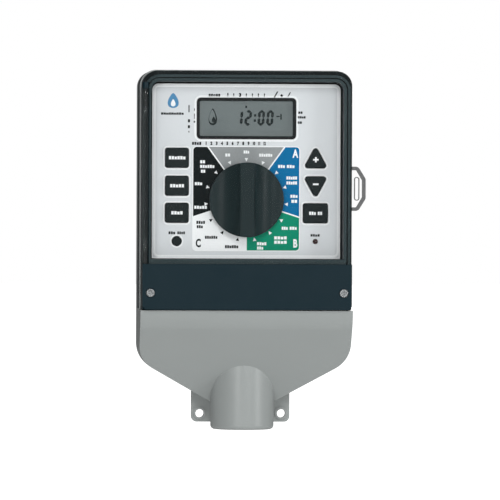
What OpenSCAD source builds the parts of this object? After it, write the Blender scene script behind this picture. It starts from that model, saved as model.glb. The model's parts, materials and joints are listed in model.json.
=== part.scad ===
// Wall-mounted irrigation controller: a grey housing with a conduit neck, a dark front cover
// with a clear door, and a light control panel with a selector dial, keys and a display.
// Frame: the wall is the plane y = 0 and the front faces -Y. +Z is up and x = 0 is the middle.
// "Depth" always means the distance out from the wall.

/* [Body] */
// Width of the grey housing
body_w = 136.6; // [122:0.2:172]
// Overall height, from the top edge to the mouth of the neck
body_h = 232.8; // [226:0.2:284]
// Wall thickness of the housing
wall = 3; // [2.4:0.1:3.6]
// Radius of the top corners
corner_r = 10.5; // [8:0.5:14]
// Depth of the housing where the front cover joins it
rim_depth = 46; // [42:0.5:56]
// Width of the flange that the front cover's gasket lies on
rim_flange_w = 5.5; // [5:0.1:7]
// Thickness of that flange
rim_flange_t = 5; // [4:0.1:6]

/* [Wiring hopper and neck] */
// Height of the grey lower part, from the neck's mouth to the cover's seam
hopper_h = 78.3; // [74:0.1:88]
// Distance from the seam down to where the sides start to narrow
shoulder_drop = 22.8; // [18:0.1:26]
// Radius of the shoulders
shoulder_r = 18; // [12:0.5:22]
// Slope of the narrowing sides, below the horizontal
side_slope = 30; // [26:0.5:34]
// How far the hopper's front stands out past the housing's rim, at the seam
hopper_rise = 26.5; // [22:0.5:34]
// Radius of the curve from the front into the slope
brow_r = 20; // [14:0.5:26]
// Slope of the hopper's front, measured from the vertical
front_slope = 45; // [42:0.5:48]
// Depth of the neck's centre line
neck_depth = 23; // [22.6:0.1:26]
// Outside diameter of the conduit that enters the neck
conduit_od = 33.4; // [26.7:0.1:33.4]
// Radial clearance round the conduit
conduit_clear = 0.3; // [0.2:0.05:0.5]
// Wall of the neck round the conduit
neck_wall = 3.6; // [3:0.1:4.4]
// Depth of the conduit socket
socket_len = 24; // [18:0.5:26]
// Step at the socket's end that stops the conduit
socket_stop = 2.5; // [1.5:0.1:4]

/* [Fixing to the wall] */
// Distance between the two lower screw holes
ear_pitch = 53.4; // [50:0.1:60]
// Diameter of the lower screw holes
ear_hole_d = 5.4; // [4.5:0.1:6]
// Height of the lower screw holes above the neck's mouth
ear_hole_up = 9.4; // [9:0.1:14]
// Thickness of the mounting ears
ear_t = 5; // [4:0.1:5.2]
// Margin of the ears outside the holes
ear_margin = 5.5; // [5:0.1:7]
// Diameter of the keyhole's entry, for the screw's head
key_head_d = 9.2; // [8.6:0.1:10]
// Width of the keyhole's slot, for the screw's shank
key_slot_w = 5.2; // [4.6:0.1:5.6]
// Length that the housing drops on the screw
key_drop = 8; // [7:0.5:10]
// Distance of the keyhole's entry below the top edge
key_down = 26; // [24:0.5:30]
// Depth of the sealed pocket behind the keyhole
key_pocket = 6.5; // [6:0.1:8]

/* [Front cover] */
// How far the cover stands inside the housing's edge
cover_inset = 1; // [0.6:0.1:1.6]
// Wall thickness of the cover
cover_wall = 3; // [2.4:0.1:3.4]
// Height of the cover's lower panel above the housing's rim
cover_h = 29.8; // [29:0.2:45]
// Gap between the cover and the housing, which the gasket bridges
seam_gap = 0.6; // [0.4:0.05:1]
// Height of the plain lower panel below the control panel
apron_h = 33; // [30:0.1:40]
// Step from the door's seat up to the lower panel
door_step = 2.6; // [2.4:0.1:3]
// Step from the door's seat down to the cover's outer edge
edge_step = 2.2; // [2:0.1:2.6]
// Width of the two raised beads round the opening
bead_w = 1.7; // [1.5:0.1:2.4]
// Width of the groove between them
groove_w = 1; // [0.8:0.1:1.2]
// Flat strip outside the beads, at the sides
edge_strip = 1; // [0.6:0.1:2]
// Gap between the control panel and the opening
panel_gap = 1.2; // [1:0.1:2]
// Distance from the top edge down to the control panel
top_border = 9.1; // [8.6:0.1:12]
// Diameter of the cover screws' shanks
cover_screw_d = 3; // [2.5:0.5:4]
// Distance of the cover screws in from the housing's sides
screw_in = 6.2; // [6.2:0.1:9]
// Distance of the cover screws above the seam
screw_up = 11; // [9:0.1:14]

/* [Door] */
// Thickness of the clear door
door_t = 2; // [1.6:0.1:2.2]
// Gap between the door and its seat
door_gap = 0.6; // [0.4:0.05:0.8]
// Radius of the door's hinge barrel
barrel_r = 2; // [1.8:0.05:2.2]
// Radius of the hinge pins
hinge_pin_r = 1; // [0.8:0.05:1.1]
// Running clearance round the hinge pins
pin_clear = 0.05; // [0.03:0.01:0.08]
// How far the pull tab stands out past the housing
tab_out = 7.5; // [6.5:0.1:12]
// Height of the pull tab at its root
tab_h = 28.4; // [24:0.1:34]
// Distance of the pull tab's slot outside the housing
tab_slot_out = 1.8; // [1.6:0.1:3]
// Length of the slot in the pull tab
tab_slot_l = 14; // [12:0.1:16]
// Width of the slot in the pull tab
tab_slot_w = 2.2; // [1.8:0.1:3]

/* [Control panel] */
// Height of the panel's front face above the housing's rim
panel_rise = 13.5; // [12:0.1:16]
// Thickness of the panel
panel_t = 2.4; // [2:0.1:3]
// Thickness of the printed film on the panel
film_t = 0.25; // [0.2:0.05:0.4]
// Clearance between the panel's pieces
fit_clear = 0.3; // [0.2:0.05:0.4]
// Height of the dial's centre above the panel's lower edge
dial_up = 37.8; // [37:0.1:42]
// Height of the three rows of keys above the panel's lower edge
key_rows = [64.7, 46.7, 29.3];
// Height of the small row with the round button and the lamp
small_row = 11.1; // [10:0.1:13]
// Distance of the key columns in from the panel's sides
column_in = 16; // [15:0.1:18]
// Width of the keys in the left column
key_w = 14.8; // [12:0.1:16]
// Height of the keys
key_h = 12.4; // [10.5:0.1:15]
// Width of the arrow keys
arrow_w = 13.2; // [11:0.1:14]
// Corner radius of the keys
key_r = 1.3; // [1:0.1:2]
// Height of the keys above the panel
key_proud = 2.2; // [1.8:0.1:3]
// Travel of the keys
key_travel = 0.8; // [0.5:0.1:0.9]
// Diameter of the small round button
round_key_d = 6; // [5:0.1:7]
// Diameter of the lamp's lens
lamp_d = 3.3; // [3:0.1:5]

/* [Dial] */
// Diameter of the dial
dial_d = 48; // [40:0.5:49]
// Height of the dial
dial_h = 12.6; // [11:0.1:12.8]
// Gap between the dial and the panel film
dial_gap = 0.55; // [0.4:0.05:0.9]
// Width of the dial's grip
grip_w = 9.4; // [8:0.1:12]
// Height of the dial's base disc under the scoops
dial_base_h = 4.2; // [4:0.1:6]
// Radius of the scoops beside the grip
scoop_r = 18; // [16:0.5:22]
// Radius of the switch shaft
shaft_r = 3; // [2.5:0.05:3.2]
// Running clearance round the switch shaft
shaft_clear = 0.05; // [0.03:0.01:0.08]
// Radius of the switch's threaded bushing
bushing_r = 4.6; // [4.2:0.1:5]

/* [Display] */
// Width of the display's black surround
lcd_w = 64; // [58:0.5:68]
// Height of the display's black surround
lcd_h = 26.5; // [24:0.5:28]
// Width of the black edge
lcd_edge = 1.3; // [1:0.1:2]
// Distance of the display's centre below the panel's top edge
lcd_down = 22.25; // [20:0.25:24]
// Corner radius of the surround
lcd_r = 2.6; // [2:0.1:3]

/* [Electronics] */
// Thickness of the circuit boards
board_t = 1.6; // [1.2:0.1:2]
// Space between the panel and the main board
board_space = 6.9; // [6.6:0.1:7.4]
// Pitch of the wiring terminals
terminal_pitch = 8; // [7:0.1:10]
// Height of the terminal block
terminal_h = 14; // [12:0.5:15]
// Depth of the terminal block
terminal_t = 14; // [12:0.5:16]
// Depth of the terminal board's back face
terminal_depth = 16; // [14:0.5:18]
// Width of the transformer's core
core_w = 38; // [32:0.5:42]
// Height of the transformer's core
core_h = 28; // [24:0.5:30]
// Thickness of the transformer's core
core_t = 18; // [14:0.5:20]

/* [Hidden] */
$fn = 64;
eps = 0.01;
corner_steps = 6;

// Heights that everything is placed by
top_z = body_h / 2;
mouth_z = -body_h / 2;
seam_z = mouth_z + hopper_h;
shoulder_z = seam_z - shoulder_drop;
hopper_top = seam_z - seam_gap / 2;
cover_bottom = seam_z + seam_gap / 2;
half_w = body_w / 2;

// Depths that everything in front of the rim is placed by
hopper_depth = rim_depth + hopper_rise;
front_depth = rim_depth + cover_h;
panel_depth = rim_depth + panel_rise;

// Neck and ears
socket_r = conduit_od / 2 + conduit_clear;
neck_r = socket_r + neck_wall;
throat_r = socket_r - socket_stop;
ear_z = mouth_z + ear_hole_up;
ear_corner_r = 3.6;
ear_ring_w = 1.4;
ear_ring_h = 0.8;
key_z = top_z - key_down;
key_wall = 3;

// Levels of the front cover, as depths
seat_depth = front_depth - door_step;
edge_depth = seat_depth - edge_step;
door_back = seat_depth + door_gap;
door_front = door_back + door_t;
skin_depth = edge_depth - 1.4;
tube_end = panel_depth - 1.7;
tube_t = 2;

// Control panel
panel_half = half_w - cover_inset - edge_strip - 2 * bead_w - groove_w - panel_gap;
panel_top = top_z - top_border;
panel_bottom = seam_z + apron_h;
panel_back = panel_depth - panel_t;
film_front = panel_depth + film_t;
film_inset = 0.8;
flange_back = panel_back - 1.7;
flange_in = 4.4;
opening_half = panel_half + panel_gap;
opening_top = panel_top + panel_gap;
opening_bottom = panel_bottom - fit_clear;
opening_r = 5.5;
panel_r = 4;
column_x = panel_half - column_in;
dial_z = panel_bottom + dial_up;
lcd_z = panel_top - lcd_down;
apron_top = panel_bottom - 3.5;
bead_edge = opening_half + 2 * bead_w + groove_w;

// Screws that hold the panel to the cover
panel_screw_x = half_w - 20;
panel_screw_z = panel_bottom - 8.5;
panel_screw_r = 1.45;

// Cover screws
cover_screw_x = half_w - screw_in;
cover_screw_z = seam_z + screw_up;
boss_r = 4.4;
head_h = 1.8;
head_r = cover_screw_d / 2 + 1.15;
head_sink = 1.2;
insert_len = 8;
insert_r = cover_screw_d / 2 + 1;

// Door hinge and pull tab
hinge_x = -(bead_edge - 0.7);
hinge_depth = door_back - 0.2;
barrel_bottom = apron_top + 0.4;
knuckle_top = top_z - corner_r + 2;
knuckle_bottom = knuckle_top - 4;
barrel_top = knuckle_bottom - 0.4;
pin_len = 16;
door_right = bead_edge + 0.4;
door_top = top_z - 1.8;
door_corner_r = 8;
tab_z = dial_z + 7.4;
tab_r = 3;
tab_x = half_w + tab_out;
tab_slot_x = half_w + tab_slot_out;

// Boards
board_front = panel_back - board_space;
board_back = board_front - board_t;
board_half = panel_half - 4.7;
board_low = panel_bottom + 2;
board_high = panel_top - 2;
post_x = panel_half - 7.1;
post_r = 2.8;
post_low = panel_bottom + 6;
post_high = panel_top - 5;
fuse_z = dial_z + 16;
fuse_depth = board_back - 5.4;
board_screw_r = 1.25;

// Dial
dial_back = film_front + dial_gap;
dial_front = dial_back + dial_h;
bushing_front = film_front + 4;
nut_front = film_front + 2.4;
nut_r = bushing_r + 2.9;
dial_recess_r = nut_r + 1.6;
dial_recess_front = bushing_front + 0.6;
shaft_front = dial_front - 2.2;

// Keys: [x, z] of each
left_keys = [for (row = key_rows) [-column_x, panel_bottom + row]];
right_keys = [for (row = key_rows) [column_x, panel_bottom + row]];
round_key = [-column_x, panel_bottom + small_row];
lamp = [column_x, panel_bottom + small_row];
key_places = concat(left_keys, right_keys, [round_key]);
key_flange = 1;
key_flange_t = 0.9;
key_back = panel_back - fit_clear - key_flange_t;
switch_h = 3.6;

// Terminal board
terminal_z = seam_z + 21.3;
terminal_board_half = half_w - 18;
terminal_board_h = 27;
terminal_post_x = terminal_board_half - 4.6;
terminal_n = floor((2 * terminal_post_x - 7) / terminal_pitch);
terminal_half = terminal_n * terminal_pitch / 2;
terminal_front = terminal_depth + board_t + terminal_t;
terminal_low = terminal_z - terminal_board_h / 2 + 2;
terminal_wire_w = 5;
terminal_x0 = -terminal_half + terminal_pitch / 2;

// Transformer
coil_x = -34;
coil_z = seam_z - 17.5;
bracket_depth = 8;
bracket_t = 1.2;
core_depth = bracket_depth + bracket_t + 5;
leg_half = core_w * 0.11;
window_w = core_w * 0.18;
window_h = core_h - 4 * leg_half;
coil_over = 4;
coil_clear = 0.15;
bracket_half = core_w / 2 + 9;
bracket_h = core_h * 0.6;
bracket_screw_x = core_w / 2 + 5;
lead_r = 1.1;

// Ribbon between the boards
ribbon_w = 20;
ribbon_t = 1;
ribbon_plug = [24, 6, 5];
ribbon_top_z = board_low + 8;
ribbon_low_z = terminal_z + terminal_board_h / 2 - 4.5;
ribbon_back = terminal_depth + board_t + 15;

housing_grey = [0.60, 0.62, 0.61];
cover_dark = [0.17, 0.22, 0.22];
panel_grey = [0.82, 0.84, 0.85];
key_black = [0.09, 0.10, 0.11];
steel = [0.75, 0.76, 0.78];
board_green = [0.10, 0.36, 0.22];

// A plate between two depths, drawn from its x-z outline
module plate(d0, d1) {
    translate([0, -d0, 0]) rotate([90, 0, 0]) linear_extrude(height = d1 - d0) children();
}

// A solid that runs across the width, drawn from its y-z outline
module across(w) {
    translate([-w / 2, 0, 0]) rotate([90, 0, 90]) linear_extrude(height = w) children();
}

// A round peg that stands out from the wall
module peg(x, z, r, d0, d1) {
    translate([x, -d0, z]) rotate([90, 0, 0]) cylinder(r = r, h = d1 - d0);
}

// A block between two corners, each [x, z], and two depths
module block(low, high, d0, d1) {
    translate([low[0], -d1, low[1]]) cube([high[0] - low[0], d1 - d0, high[1] - low[1]]);
}

// A convex outline with every corner rounded, from the centres of its corners, anticlockwise
module rounded(centres, r) {
    n = len(centres);
    polygon([for (i = [0 : n - 1])
        let (a = centres[i], b = centres[(i + 1) % n], run = b - a, out = [run[1], -run[0]] / norm(run))
        each [a + r * out, b + r * out]]);
    for (c = centres) translate(c) circle(r);
}

// The same with its corners drawn as short chords, for an outline whose sides slant
module chord_rounded(centres, r) {
    n = len(centres);
    polygon([for (i = [0 : n - 1])
        let (a = centres[i] - centres[(i + n - 1) % n], b = centres[(i + 1) % n] - centres[i],
             from = atan2(a[1], a[0]) - 90, turn = (atan2(b[1], b[0]) - atan2(a[1], a[0]) + 720) % 360)
        for (step = [0 : corner_steps])
            centres[i] + r * [cos(from + turn * step / corner_steps), sin(from + turn * step / corner_steps)]]);
}

// A rectangle with rounded corners, from its middle
module rounded_rect(w, h, r) {
    x = w / 2 - r;
    z = h / 2 - r;
    rounded([[-x, -z], [x, -z], [x, z], [-x, z]], r);
}

// The body's outline drawn in by a margin and cut off at a height: its top corners are round
module body_outline(margin, low) {
    r = corner_r - margin;
    x = half_w - corner_r;
    translate([margin - half_w, low]) square([body_w - 2 * margin, top_z - corner_r - low]);
    translate([-x, top_z - corner_r - eps]) square([2 * x, r + eps]);
    for (side = [-1, 1]) translate([side * x, top_z - corner_r]) circle(r);
}

// The hopper's front view, drawn in by a margin
module hopper_outline(margin, top, end_x) {
    r = shoulder_r - margin;
    x = half_w - shoulder_r;
    tx = x + r * sin(side_slope);
    tz = shoulder_z - r * cos(side_slope);
    translate([margin - half_w, shoulder_z]) square([body_w - 2 * margin, top - shoulder_z]);
    for (side = [-1, 1]) translate([side * x, shoulder_z]) circle(r);
    end_z = tz - (tx - end_x) * tan(side_slope);
    polygon([[-x, shoulder_z + eps], [-tx, tz], [-end_x, end_z], [end_x, end_z], [tx, tz], [x, shoulder_z + eps]]);
}

// The hopper's side view, drawn in by a margin: a curve, then a straight slope back to the wall
module hopper_profile(margin, top) {
    r = brow_r - margin;
    out = hopper_depth - brow_r;
    cz = hopper_top + 1;
    td = out + r * cos(front_slope);
    tz = cz - r * sin(front_slope);
    polygon([[0, top], [-out, top], [-td, tz], [0, tz - td / tan(front_slope)]]);
    intersection() {
        translate([-out, cz]) circle(r);
        translate([-hopper_depth, cz - 2 * brow_r]) square([hopper_depth, top - cz + 2 * brow_r]);
    }
}

// The hopper as a solid, drawn in by a margin
module hopper(margin, top, end_x) {
    intersection() {
        plate(margin, hopper_depth) hopper_outline(margin, top, end_x);
        across(body_w) hopper_profile(margin, top);
    }
}

module back_housing() {
    color(housing_grey) difference() {
        union() {
            difference() {
                union() {
                    plate(0, rim_depth) body_outline(0, hopper_top - eps);
                    hopper(0, hopper_top, neck_r);
                    translate([0, -neck_depth, mouth_z]) cylinder(r = neck_r, h = hopper_h - shoulder_drop);
                    ears();
                }
                plate(wall, rim_depth - rim_flange_t) body_outline(wall, hopper_top - 12);
                hopper(wall, hopper_top - wall, throat_r);
                plate(rim_depth - rim_flange_t - eps, rim_depth + eps)
                    body_outline(rim_flange_w, cover_bottom + rim_flange_w);
            }
            intersection() {
                housing_bosses();
                plate(0, rim_depth) body_outline(0, mouth_z);
            }
            key_boss();
        }
        gasket_groove();
        neck_bore();
        keyhole();
        for (side = [-1, 1]) {
            peg(side * ear_pitch / 2, ear_z, ear_hole_d / 2, -eps, ear_t + ear_ring_h + eps);
            peg(side * cover_screw_x, cover_screw_z, insert_r, rim_depth - insert_len - 4, rim_depth + eps);
            for (up = [-1, 1])
                peg(side * terminal_post_x, terminal_z + up * (terminal_board_h / 2 - 4), 1.3, wall + 3,
                    terminal_depth + eps);
            peg(coil_x + side * bracket_screw_x, coil_z, 1.5, wall, bracket_depth + eps);
        }
    }
}

// The plate at the foot of the back, with a raised ring round each screw hole
module ears() {
    x = ear_pitch / 2 + ear_margin - ear_corner_r;
    low = ear_z - ear_margin + ear_corner_r;
    plate(0, ear_t) rounded([[-x, low], [x, low], [x, shoulder_z - 8], [-x, shoulder_z - 8]], ear_corner_r);
    for (side = [-1, 1]) peg(side * ear_pitch / 2, ear_z, ear_hole_d / 2 + ear_ring_w, 0, ear_t + ear_ring_h);
}

module housing_bosses() {
    for (side = [-1, 1]) {
        peg(side * cover_screw_x, cover_screw_z, boss_r, wall - eps, rim_depth);
        for (up = [-1, 1])
            peg(side * terminal_post_x, terminal_z + up * (terminal_board_h / 2 - 4), 3.2, wall - eps,
                terminal_depth);
        peg(coil_x + side * bracket_screw_x, coil_z, 4, wall - eps, bracket_depth);
    }
}

// Closed pocket behind the keyhole, so that the wall screw stays outside
module key_boss() {
    w = key_head_d + 6;
    block([-w / 2, key_z - w / 2], [w / 2, key_z + key_drop + w / 2], wall - eps, key_pocket + 2.4);
}

module keyhole() {
    peg(0, key_z, key_head_d / 2, -eps, key_pocket);
    block([-key_slot_w / 2, key_z], [key_slot_w / 2, key_z + key_drop], -eps, key_pocket);
    peg(0, key_z + key_drop, key_slot_w / 2, -eps, key_pocket);
    peg(0, key_z + key_drop, key_head_d / 2, key_wall, key_pocket);
    block([-key_head_d / 2, key_z], [key_head_d / 2, key_z + key_drop], key_wall, key_pocket);
}

module neck_bore() {
    translate([0, -neck_depth, mouth_z - eps]) cylinder(r = socket_r, h = socket_len + eps);
    translate([0, -neck_depth, mouth_z]) cylinder(r = throat_r, h = hopper_h - shoulder_drop - 14);
}

// The ring between two margins that the gasket fills
module gasket_ring(outer, inner) {
    difference() {
        body_outline(outer, cover_bottom + outer - cover_inset);
        body_outline(inner, cover_bottom + inner - cover_inset);
    }
}

module gasket_groove() {
    plate(rim_depth - 1.5, rim_depth + eps) gasket_ring(cover_inset + 0.4, cover_inset + 2.4);
}

module cover_gasket() {
    color([0.12, 0.12, 0.12])
        plate(rim_depth - 1.5, rim_depth + seam_gap) gasket_ring(cover_inset + 0.5, cover_inset + 2.3);
}

module insert_nuts() {
    color([0.80, 0.65, 0.30]) for (side = [-1, 1]) difference() {
        peg(side * cover_screw_x, cover_screw_z, insert_r, rim_depth - insert_len, rim_depth);
        peg(side * cover_screw_x, cover_screw_z, cover_screw_d / 2 + 0.02, rim_depth - insert_len - eps,
            rim_depth + eps);
    }
}

// The opening that the control panel shows through
module opening(margin, low) {
    r = opening_r + margin;
    x = opening_half + margin;
    top = opening_top + margin;
    translate([-x, low]) square([2 * x, top - r - low]);
    translate([r - x, top - r - eps]) square([2 * (x - r), r + eps]);
    for (side = [-1, 1]) translate([side * (x - r), top - r]) circle(r);
}

module front_cover() {
    back = rim_depth + seam_gap;
    screw_seat = front_depth - head_sink;
    color(cover_dark) difference() {
        union() {
            difference() {
                union() {
                    plate(back, edge_depth) body_outline(cover_inset, cover_bottom);
                    plate(edge_depth - eps, seat_depth)
                        intersection() {
                            body_outline(cover_inset, cover_bottom);
                            opening(2 * bead_w + groove_w, cover_bottom);
                        }
                    plate(edge_depth - eps, front_depth) apron_outline();
                }
                plate(back - eps, skin_depth) body_outline(cover_inset + cover_wall, cover_bottom + cover_wall);
                plate(skin_depth - eps, front_depth - cover_wall)
                    translate([-half_w + 6, cover_bottom + cover_wall])
                        square([body_w - 12, apron_top - cover_bottom - 2 * cover_wall]);
                plate(edge_depth, front_depth) groove_ring();
            }
            plate(tube_end, seat_depth - eps) difference() {
                opening(tube_t, opening_bottom - tube_t);
                opening(0, opening_bottom);
            }
            cover_bosses();
            panel_hooks();
            hinge_knuckles();
        }
        plate(tube_end - eps, front_depth + eps) opening(0, opening_bottom);
        for (side = [-1, 1]) {
            peg(side * cover_screw_x, cover_screw_z, cover_screw_d / 2 + 0.2, back - eps, front_depth);
            peg(side * cover_screw_x, cover_screw_z, head_r + 0.3, screw_seat, front_depth + eps);
            peg(side * panel_screw_x, panel_screw_z, panel_screw_r + 0.03, tube_end - eps, tube_end + 9);
        }
        hinge_cuts();
    }
}

// The plain lower panel, with its two bottom corners cut off
module apron_outline() {
    x = half_w - cover_inset;
    cut = 2.2;
    polygon([[cut - x, cover_bottom], [x - cut, cover_bottom], [x, cover_bottom + cut], [x, apron_top],
        [-x, apron_top], [-x, cover_bottom + cut]]);
}

// The groove between the two beads, on three sides of the opening
module groove_ring() {
    intersection() {
        difference() {
            opening(bead_w + groove_w, apron_top);
            opening(bead_w, apron_top - 1);
        }
        translate([-half_w, apron_top]) square([body_w, top_z - apron_top]);
    }
}

module cover_bosses() {
    for (side = [-1, 1]) {
        peg(side * cover_screw_x, cover_screw_z, boss_r - 0.6, rim_depth + seam_gap, front_depth - 1);
        peg(side * panel_screw_x, panel_screw_z, 3.4, tube_end, front_depth - 1);
    }
}

// Two hooks that hold the panel's top edge
module panel_hooks() {
    x = half_w * 0.55;
    for (side = [-1, 1]) {
        block([side * x - 6, opening_top + tube_t + fit_clear], [side * x + 6, top_z - cover_inset - 1], flange_back - 2.6,
            tube_end + 3);
        block([side * x - 6, opening_top - 1.4], [side * x + 6, top_z - cover_inset - 1], flange_back - 2.6,
            flange_back - fit_clear);
    }
}

// Upper knuckle and the block behind the lower pin
module hinge_knuckles() {
    translate([hinge_x, -hinge_depth, knuckle_bottom]) cylinder(r = barrel_r, h = knuckle_top - knuckle_bottom);
    block([hinge_x - barrel_r + 0.4, knuckle_bottom], [hinge_x + barrel_r, knuckle_top], edge_depth - 1, hinge_depth);
    block([hinge_x - barrel_r + 0.4, apron_top - 10], [hinge_x + barrel_r + 1, apron_top], skin_depth - 1, front_depth - 1);
}

module hinge_cuts() {
    translate([hinge_x, -hinge_depth, apron_top]) cylinder(r = barrel_r + 0.6, h = knuckle_bottom - apron_top);
    block([-half_w, apron_top], [hinge_x, knuckle_bottom], edge_depth, front_depth);
    for (z = [apron_top - 8, knuckle_bottom - eps])
        translate([hinge_x, -hinge_depth, z]) cylinder(r = hinge_pin_r + 0.02, h = 8 + eps);
}

module cover_screws() {
    color(steel) for (side = [-1, 1]) difference() {
        union() {
            peg(side * cover_screw_x, cover_screw_z, cover_screw_d / 2, rim_depth - insert_len - 2,
                front_depth - head_sink + eps);
            peg(side * cover_screw_x, cover_screw_z, head_r, front_depth - head_sink,
                front_depth - head_sink + head_h);
        }
        cross_slot(side * cover_screw_x, cover_screw_z, head_r, front_depth - head_sink + head_h);
    }
}

// A cross recess in a screw's head
module cross_slot(x, z, r, front) {
    for (turn = [0, 90]) translate([x, -front, z]) rotate([0, turn, 0])
        translate([-r * 0.62, -0.01, -r * 0.14]) cube([r * 1.24, 0.9, r * 0.28]);
}

module hinge_pins() {
    color(steel) {
        translate([hinge_x, -hinge_depth, apron_top - 7.8]) cylinder(r = hinge_pin_r, h = pin_len);
        translate([hinge_x, -hinge_depth, knuckle_top - pin_len]) cylinder(r = hinge_pin_r, h = pin_len);
    }
}

module door() {
    color([0.85, 0.90, 0.92, 0.35]) difference() {
        union() {
            plate(door_back, door_front) door_outline();
            translate([hinge_x, -hinge_depth, barrel_bottom]) cylinder(r = barrel_r, h = barrel_top - barrel_bottom);
        }
        for (z = [barrel_bottom - eps, barrel_top - pin_len])
            translate([hinge_x, -hinge_depth, z]) cylinder(r = hinge_pin_r + pin_clear, h = pin_len + eps);
        plate(door_back - eps, door_front + eps) translate([tab_slot_x, tab_z]) rounded_rect(tab_slot_w, tab_slot_l, 1);
    }
}

module door_outline() {
    r = door_corner_r;
    left = hinge_x + barrel_r + 0.8;
    translate([hinge_x, barrel_bottom]) square([door_right - hinge_x, barrel_top - barrel_bottom]);
    rounded([[left + r, barrel_bottom + r], [door_right - r, barrel_bottom + r], [door_right - r, door_top - r],
        [left + r, door_top - r]], r);
    x = tab_x - tab_r;
    chord_rounded([[door_right - r, tab_z - tab_h / 2 + tab_r], [half_w + 1, tab_z - tab_h / 2 + tab_r],
        [x, tab_z - tab_h / 4 + tab_r / 2], [x, tab_z + tab_h / 4 - tab_r / 2],
        [half_w + 1, tab_z + tab_h / 2 - tab_r], [door_right - r, tab_z + tab_h / 2 - tab_r]], tab_r);
}

// The control panel's outline, drawn in by a margin: its top corners are rounder than its bottom ones
module panel_outline(margin) {
    x = panel_half - panel_r;
    low = panel_bottom + margin;
    translate([margin - panel_half, low]) square([2 * (panel_half - margin), panel_top - panel_r - low]);
    translate([-x, panel_top - panel_r - eps]) square([2 * x, panel_r - margin + eps]);
    for (side = [-1, 1]) translate([side * x, panel_top - panel_r]) circle(panel_r - margin);
}

module key_outline(grow) {
    rounded_rect(key_w + 2 * grow, key_h + 2 * grow, key_r + grow);
}

module wide_key_outline(grow) {
    rounded_rect(key_w + 0.9 + 2 * grow, key_h + 2 * grow, key_r + grow);
}

// An arrow key's outline, pointing up or down
module arrow_outline(up, grow) {
    r = 1.6;
    x = arrow_w / 2 - r;
    low = r - key_h / 2;
    high = key_h / 2 - r;
    mirror([0, up ? 0 : 1]) chord_rounded([[-x, low], [x, low], [0, high]], r + grow);
}

// Everything that passes through the panel, with a margin round it
module panel_holes(grow) {
    for (place = left_keys) translate(place) key_outline(grow);
    translate(right_keys[0]) arrow_outline(true, grow);
    translate(right_keys[1]) arrow_outline(false, grow);
    translate(right_keys[2]) wide_key_outline(grow);
    translate(round_key) circle(round_key_d / 2 + grow);
    translate(lamp) circle(lamp_d / 2 + grow - 0.2);
    translate([0, lcd_z]) rounded_rect(lcd_w + 2 * grow - 0.4, lcd_h + 2 * grow - 0.4, lcd_r + grow - 0.2);
    translate([0, dial_z]) circle(bushing_r + grow - 0.1);
}

module faceplate() {
    color(panel_grey) difference() {
        union() {
            plate(panel_back, panel_depth) panel_outline(0);
            plate(flange_back, tube_end) difference() {
                union() {
                    opening(tube_t - 0.2, panel_bottom - 8);
                    translate([-panel_screw_x - 5, panel_screw_z - 5]) square([2 * panel_screw_x + 10, 12]);
                }
                translate([-panel_half + flange_in, panel_bottom + 1.2])
                    square([2 * (panel_half - flange_in), panel_top - panel_bottom - 3.4]);
            }
            for (x = [-post_x, post_x]) for (z = [post_low, post_high])
                peg(x, z, post_r, board_front, panel_back + eps);
        }
        plate(panel_back - eps, panel_depth + eps) panel_holes(fit_clear);
        for (x = [-post_x, post_x]) for (z = [post_low, post_high])
            peg(x, z, board_screw_r + 0.03, board_front - eps, panel_back - 0.6);
        for (side = [-1, 1]) peg(side * panel_screw_x, panel_screw_z, panel_screw_r + 0.3, flange_back - eps,
            tube_end + eps);
    }
}

module panel_film() {
    color([0.84, 0.86, 0.87]) plate(panel_depth, film_front) difference() {
        panel_outline(film_inset);
        panel_holes(fit_clear + 0.2);
    }
}

module panel_screws() {
    color(steel) for (side = [-1, 1]) {
        peg(side * panel_screw_x, panel_screw_z, panel_screw_r, flange_back - eps, tube_end + 8);
        peg(side * panel_screw_x, panel_screw_z, 2.8, flange_back - 1.8, flange_back);
    }
}

module lcd_bezel() {
    color(key_black) plate(panel_back + 0.3, film_front + 0.3) translate([0, lcd_z]) difference() {
        rounded_rect(lcd_w, lcd_h, lcd_r);
        rounded_rect(lcd_w - 2 * lcd_edge, lcd_h - 2 * lcd_edge, lcd_r - lcd_edge);
    }
}

module lcd_window() {
    color([0.8, 0.85, 0.85, 0.35]) plate(film_front - 1.3, film_front - 0.1) translate([0, lcd_z])
        rounded_rect(lcd_w - 2 * lcd_edge - 0.1, lcd_h - 2 * lcd_edge - 0.1, lcd_r - lcd_edge - 0.05);
}

module lcd_glass() {
    color([0.43, 0.48, 0.47]) plate(panel_back - 2.9, panel_back - 0.1) translate([0, lcd_z])
        square([lcd_w + 4, lcd_h + 4.5], center = true);
}

module lcd_holder() {
    color([0.88, 0.88, 0.86]) plate(board_front, panel_back - 0.1) translate([0, lcd_z]) difference() {
        square([lcd_w + 8, lcd_h + 8.5], center = true);
        square([lcd_w + 4.2, lcd_h + 4.7], center = true);
    }
}

module lcd_contacts() {
    color([0.85, 0.45, 0.55]) for (side = [-1, 1])
        translate([0, 0, side * (lcd_h / 2 + 0.6)]) block([-lcd_w / 2 + 2, lcd_z - 1], [lcd_w / 2 - 2, lcd_z + 1],
            board_front, panel_back - 2.9);
}

module main_board() {
    color(board_green) plate(board_back, board_front) difference() {
        translate([-board_half, board_low]) square([2 * board_half, board_high - board_low]);
        for (x = [-post_x, post_x]) for (z = [post_low, post_high]) translate([x, z]) circle(board_screw_r + 0.2);
    }
}

module board_screws() {
    color(steel) for (x = [-post_x, post_x]) for (z = [post_low, post_high]) {
        peg(x, z, board_screw_r, board_back - eps, board_front + 5);
        peg(x, z, 2.4, board_back - 1.6, board_back);
    }
}

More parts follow.
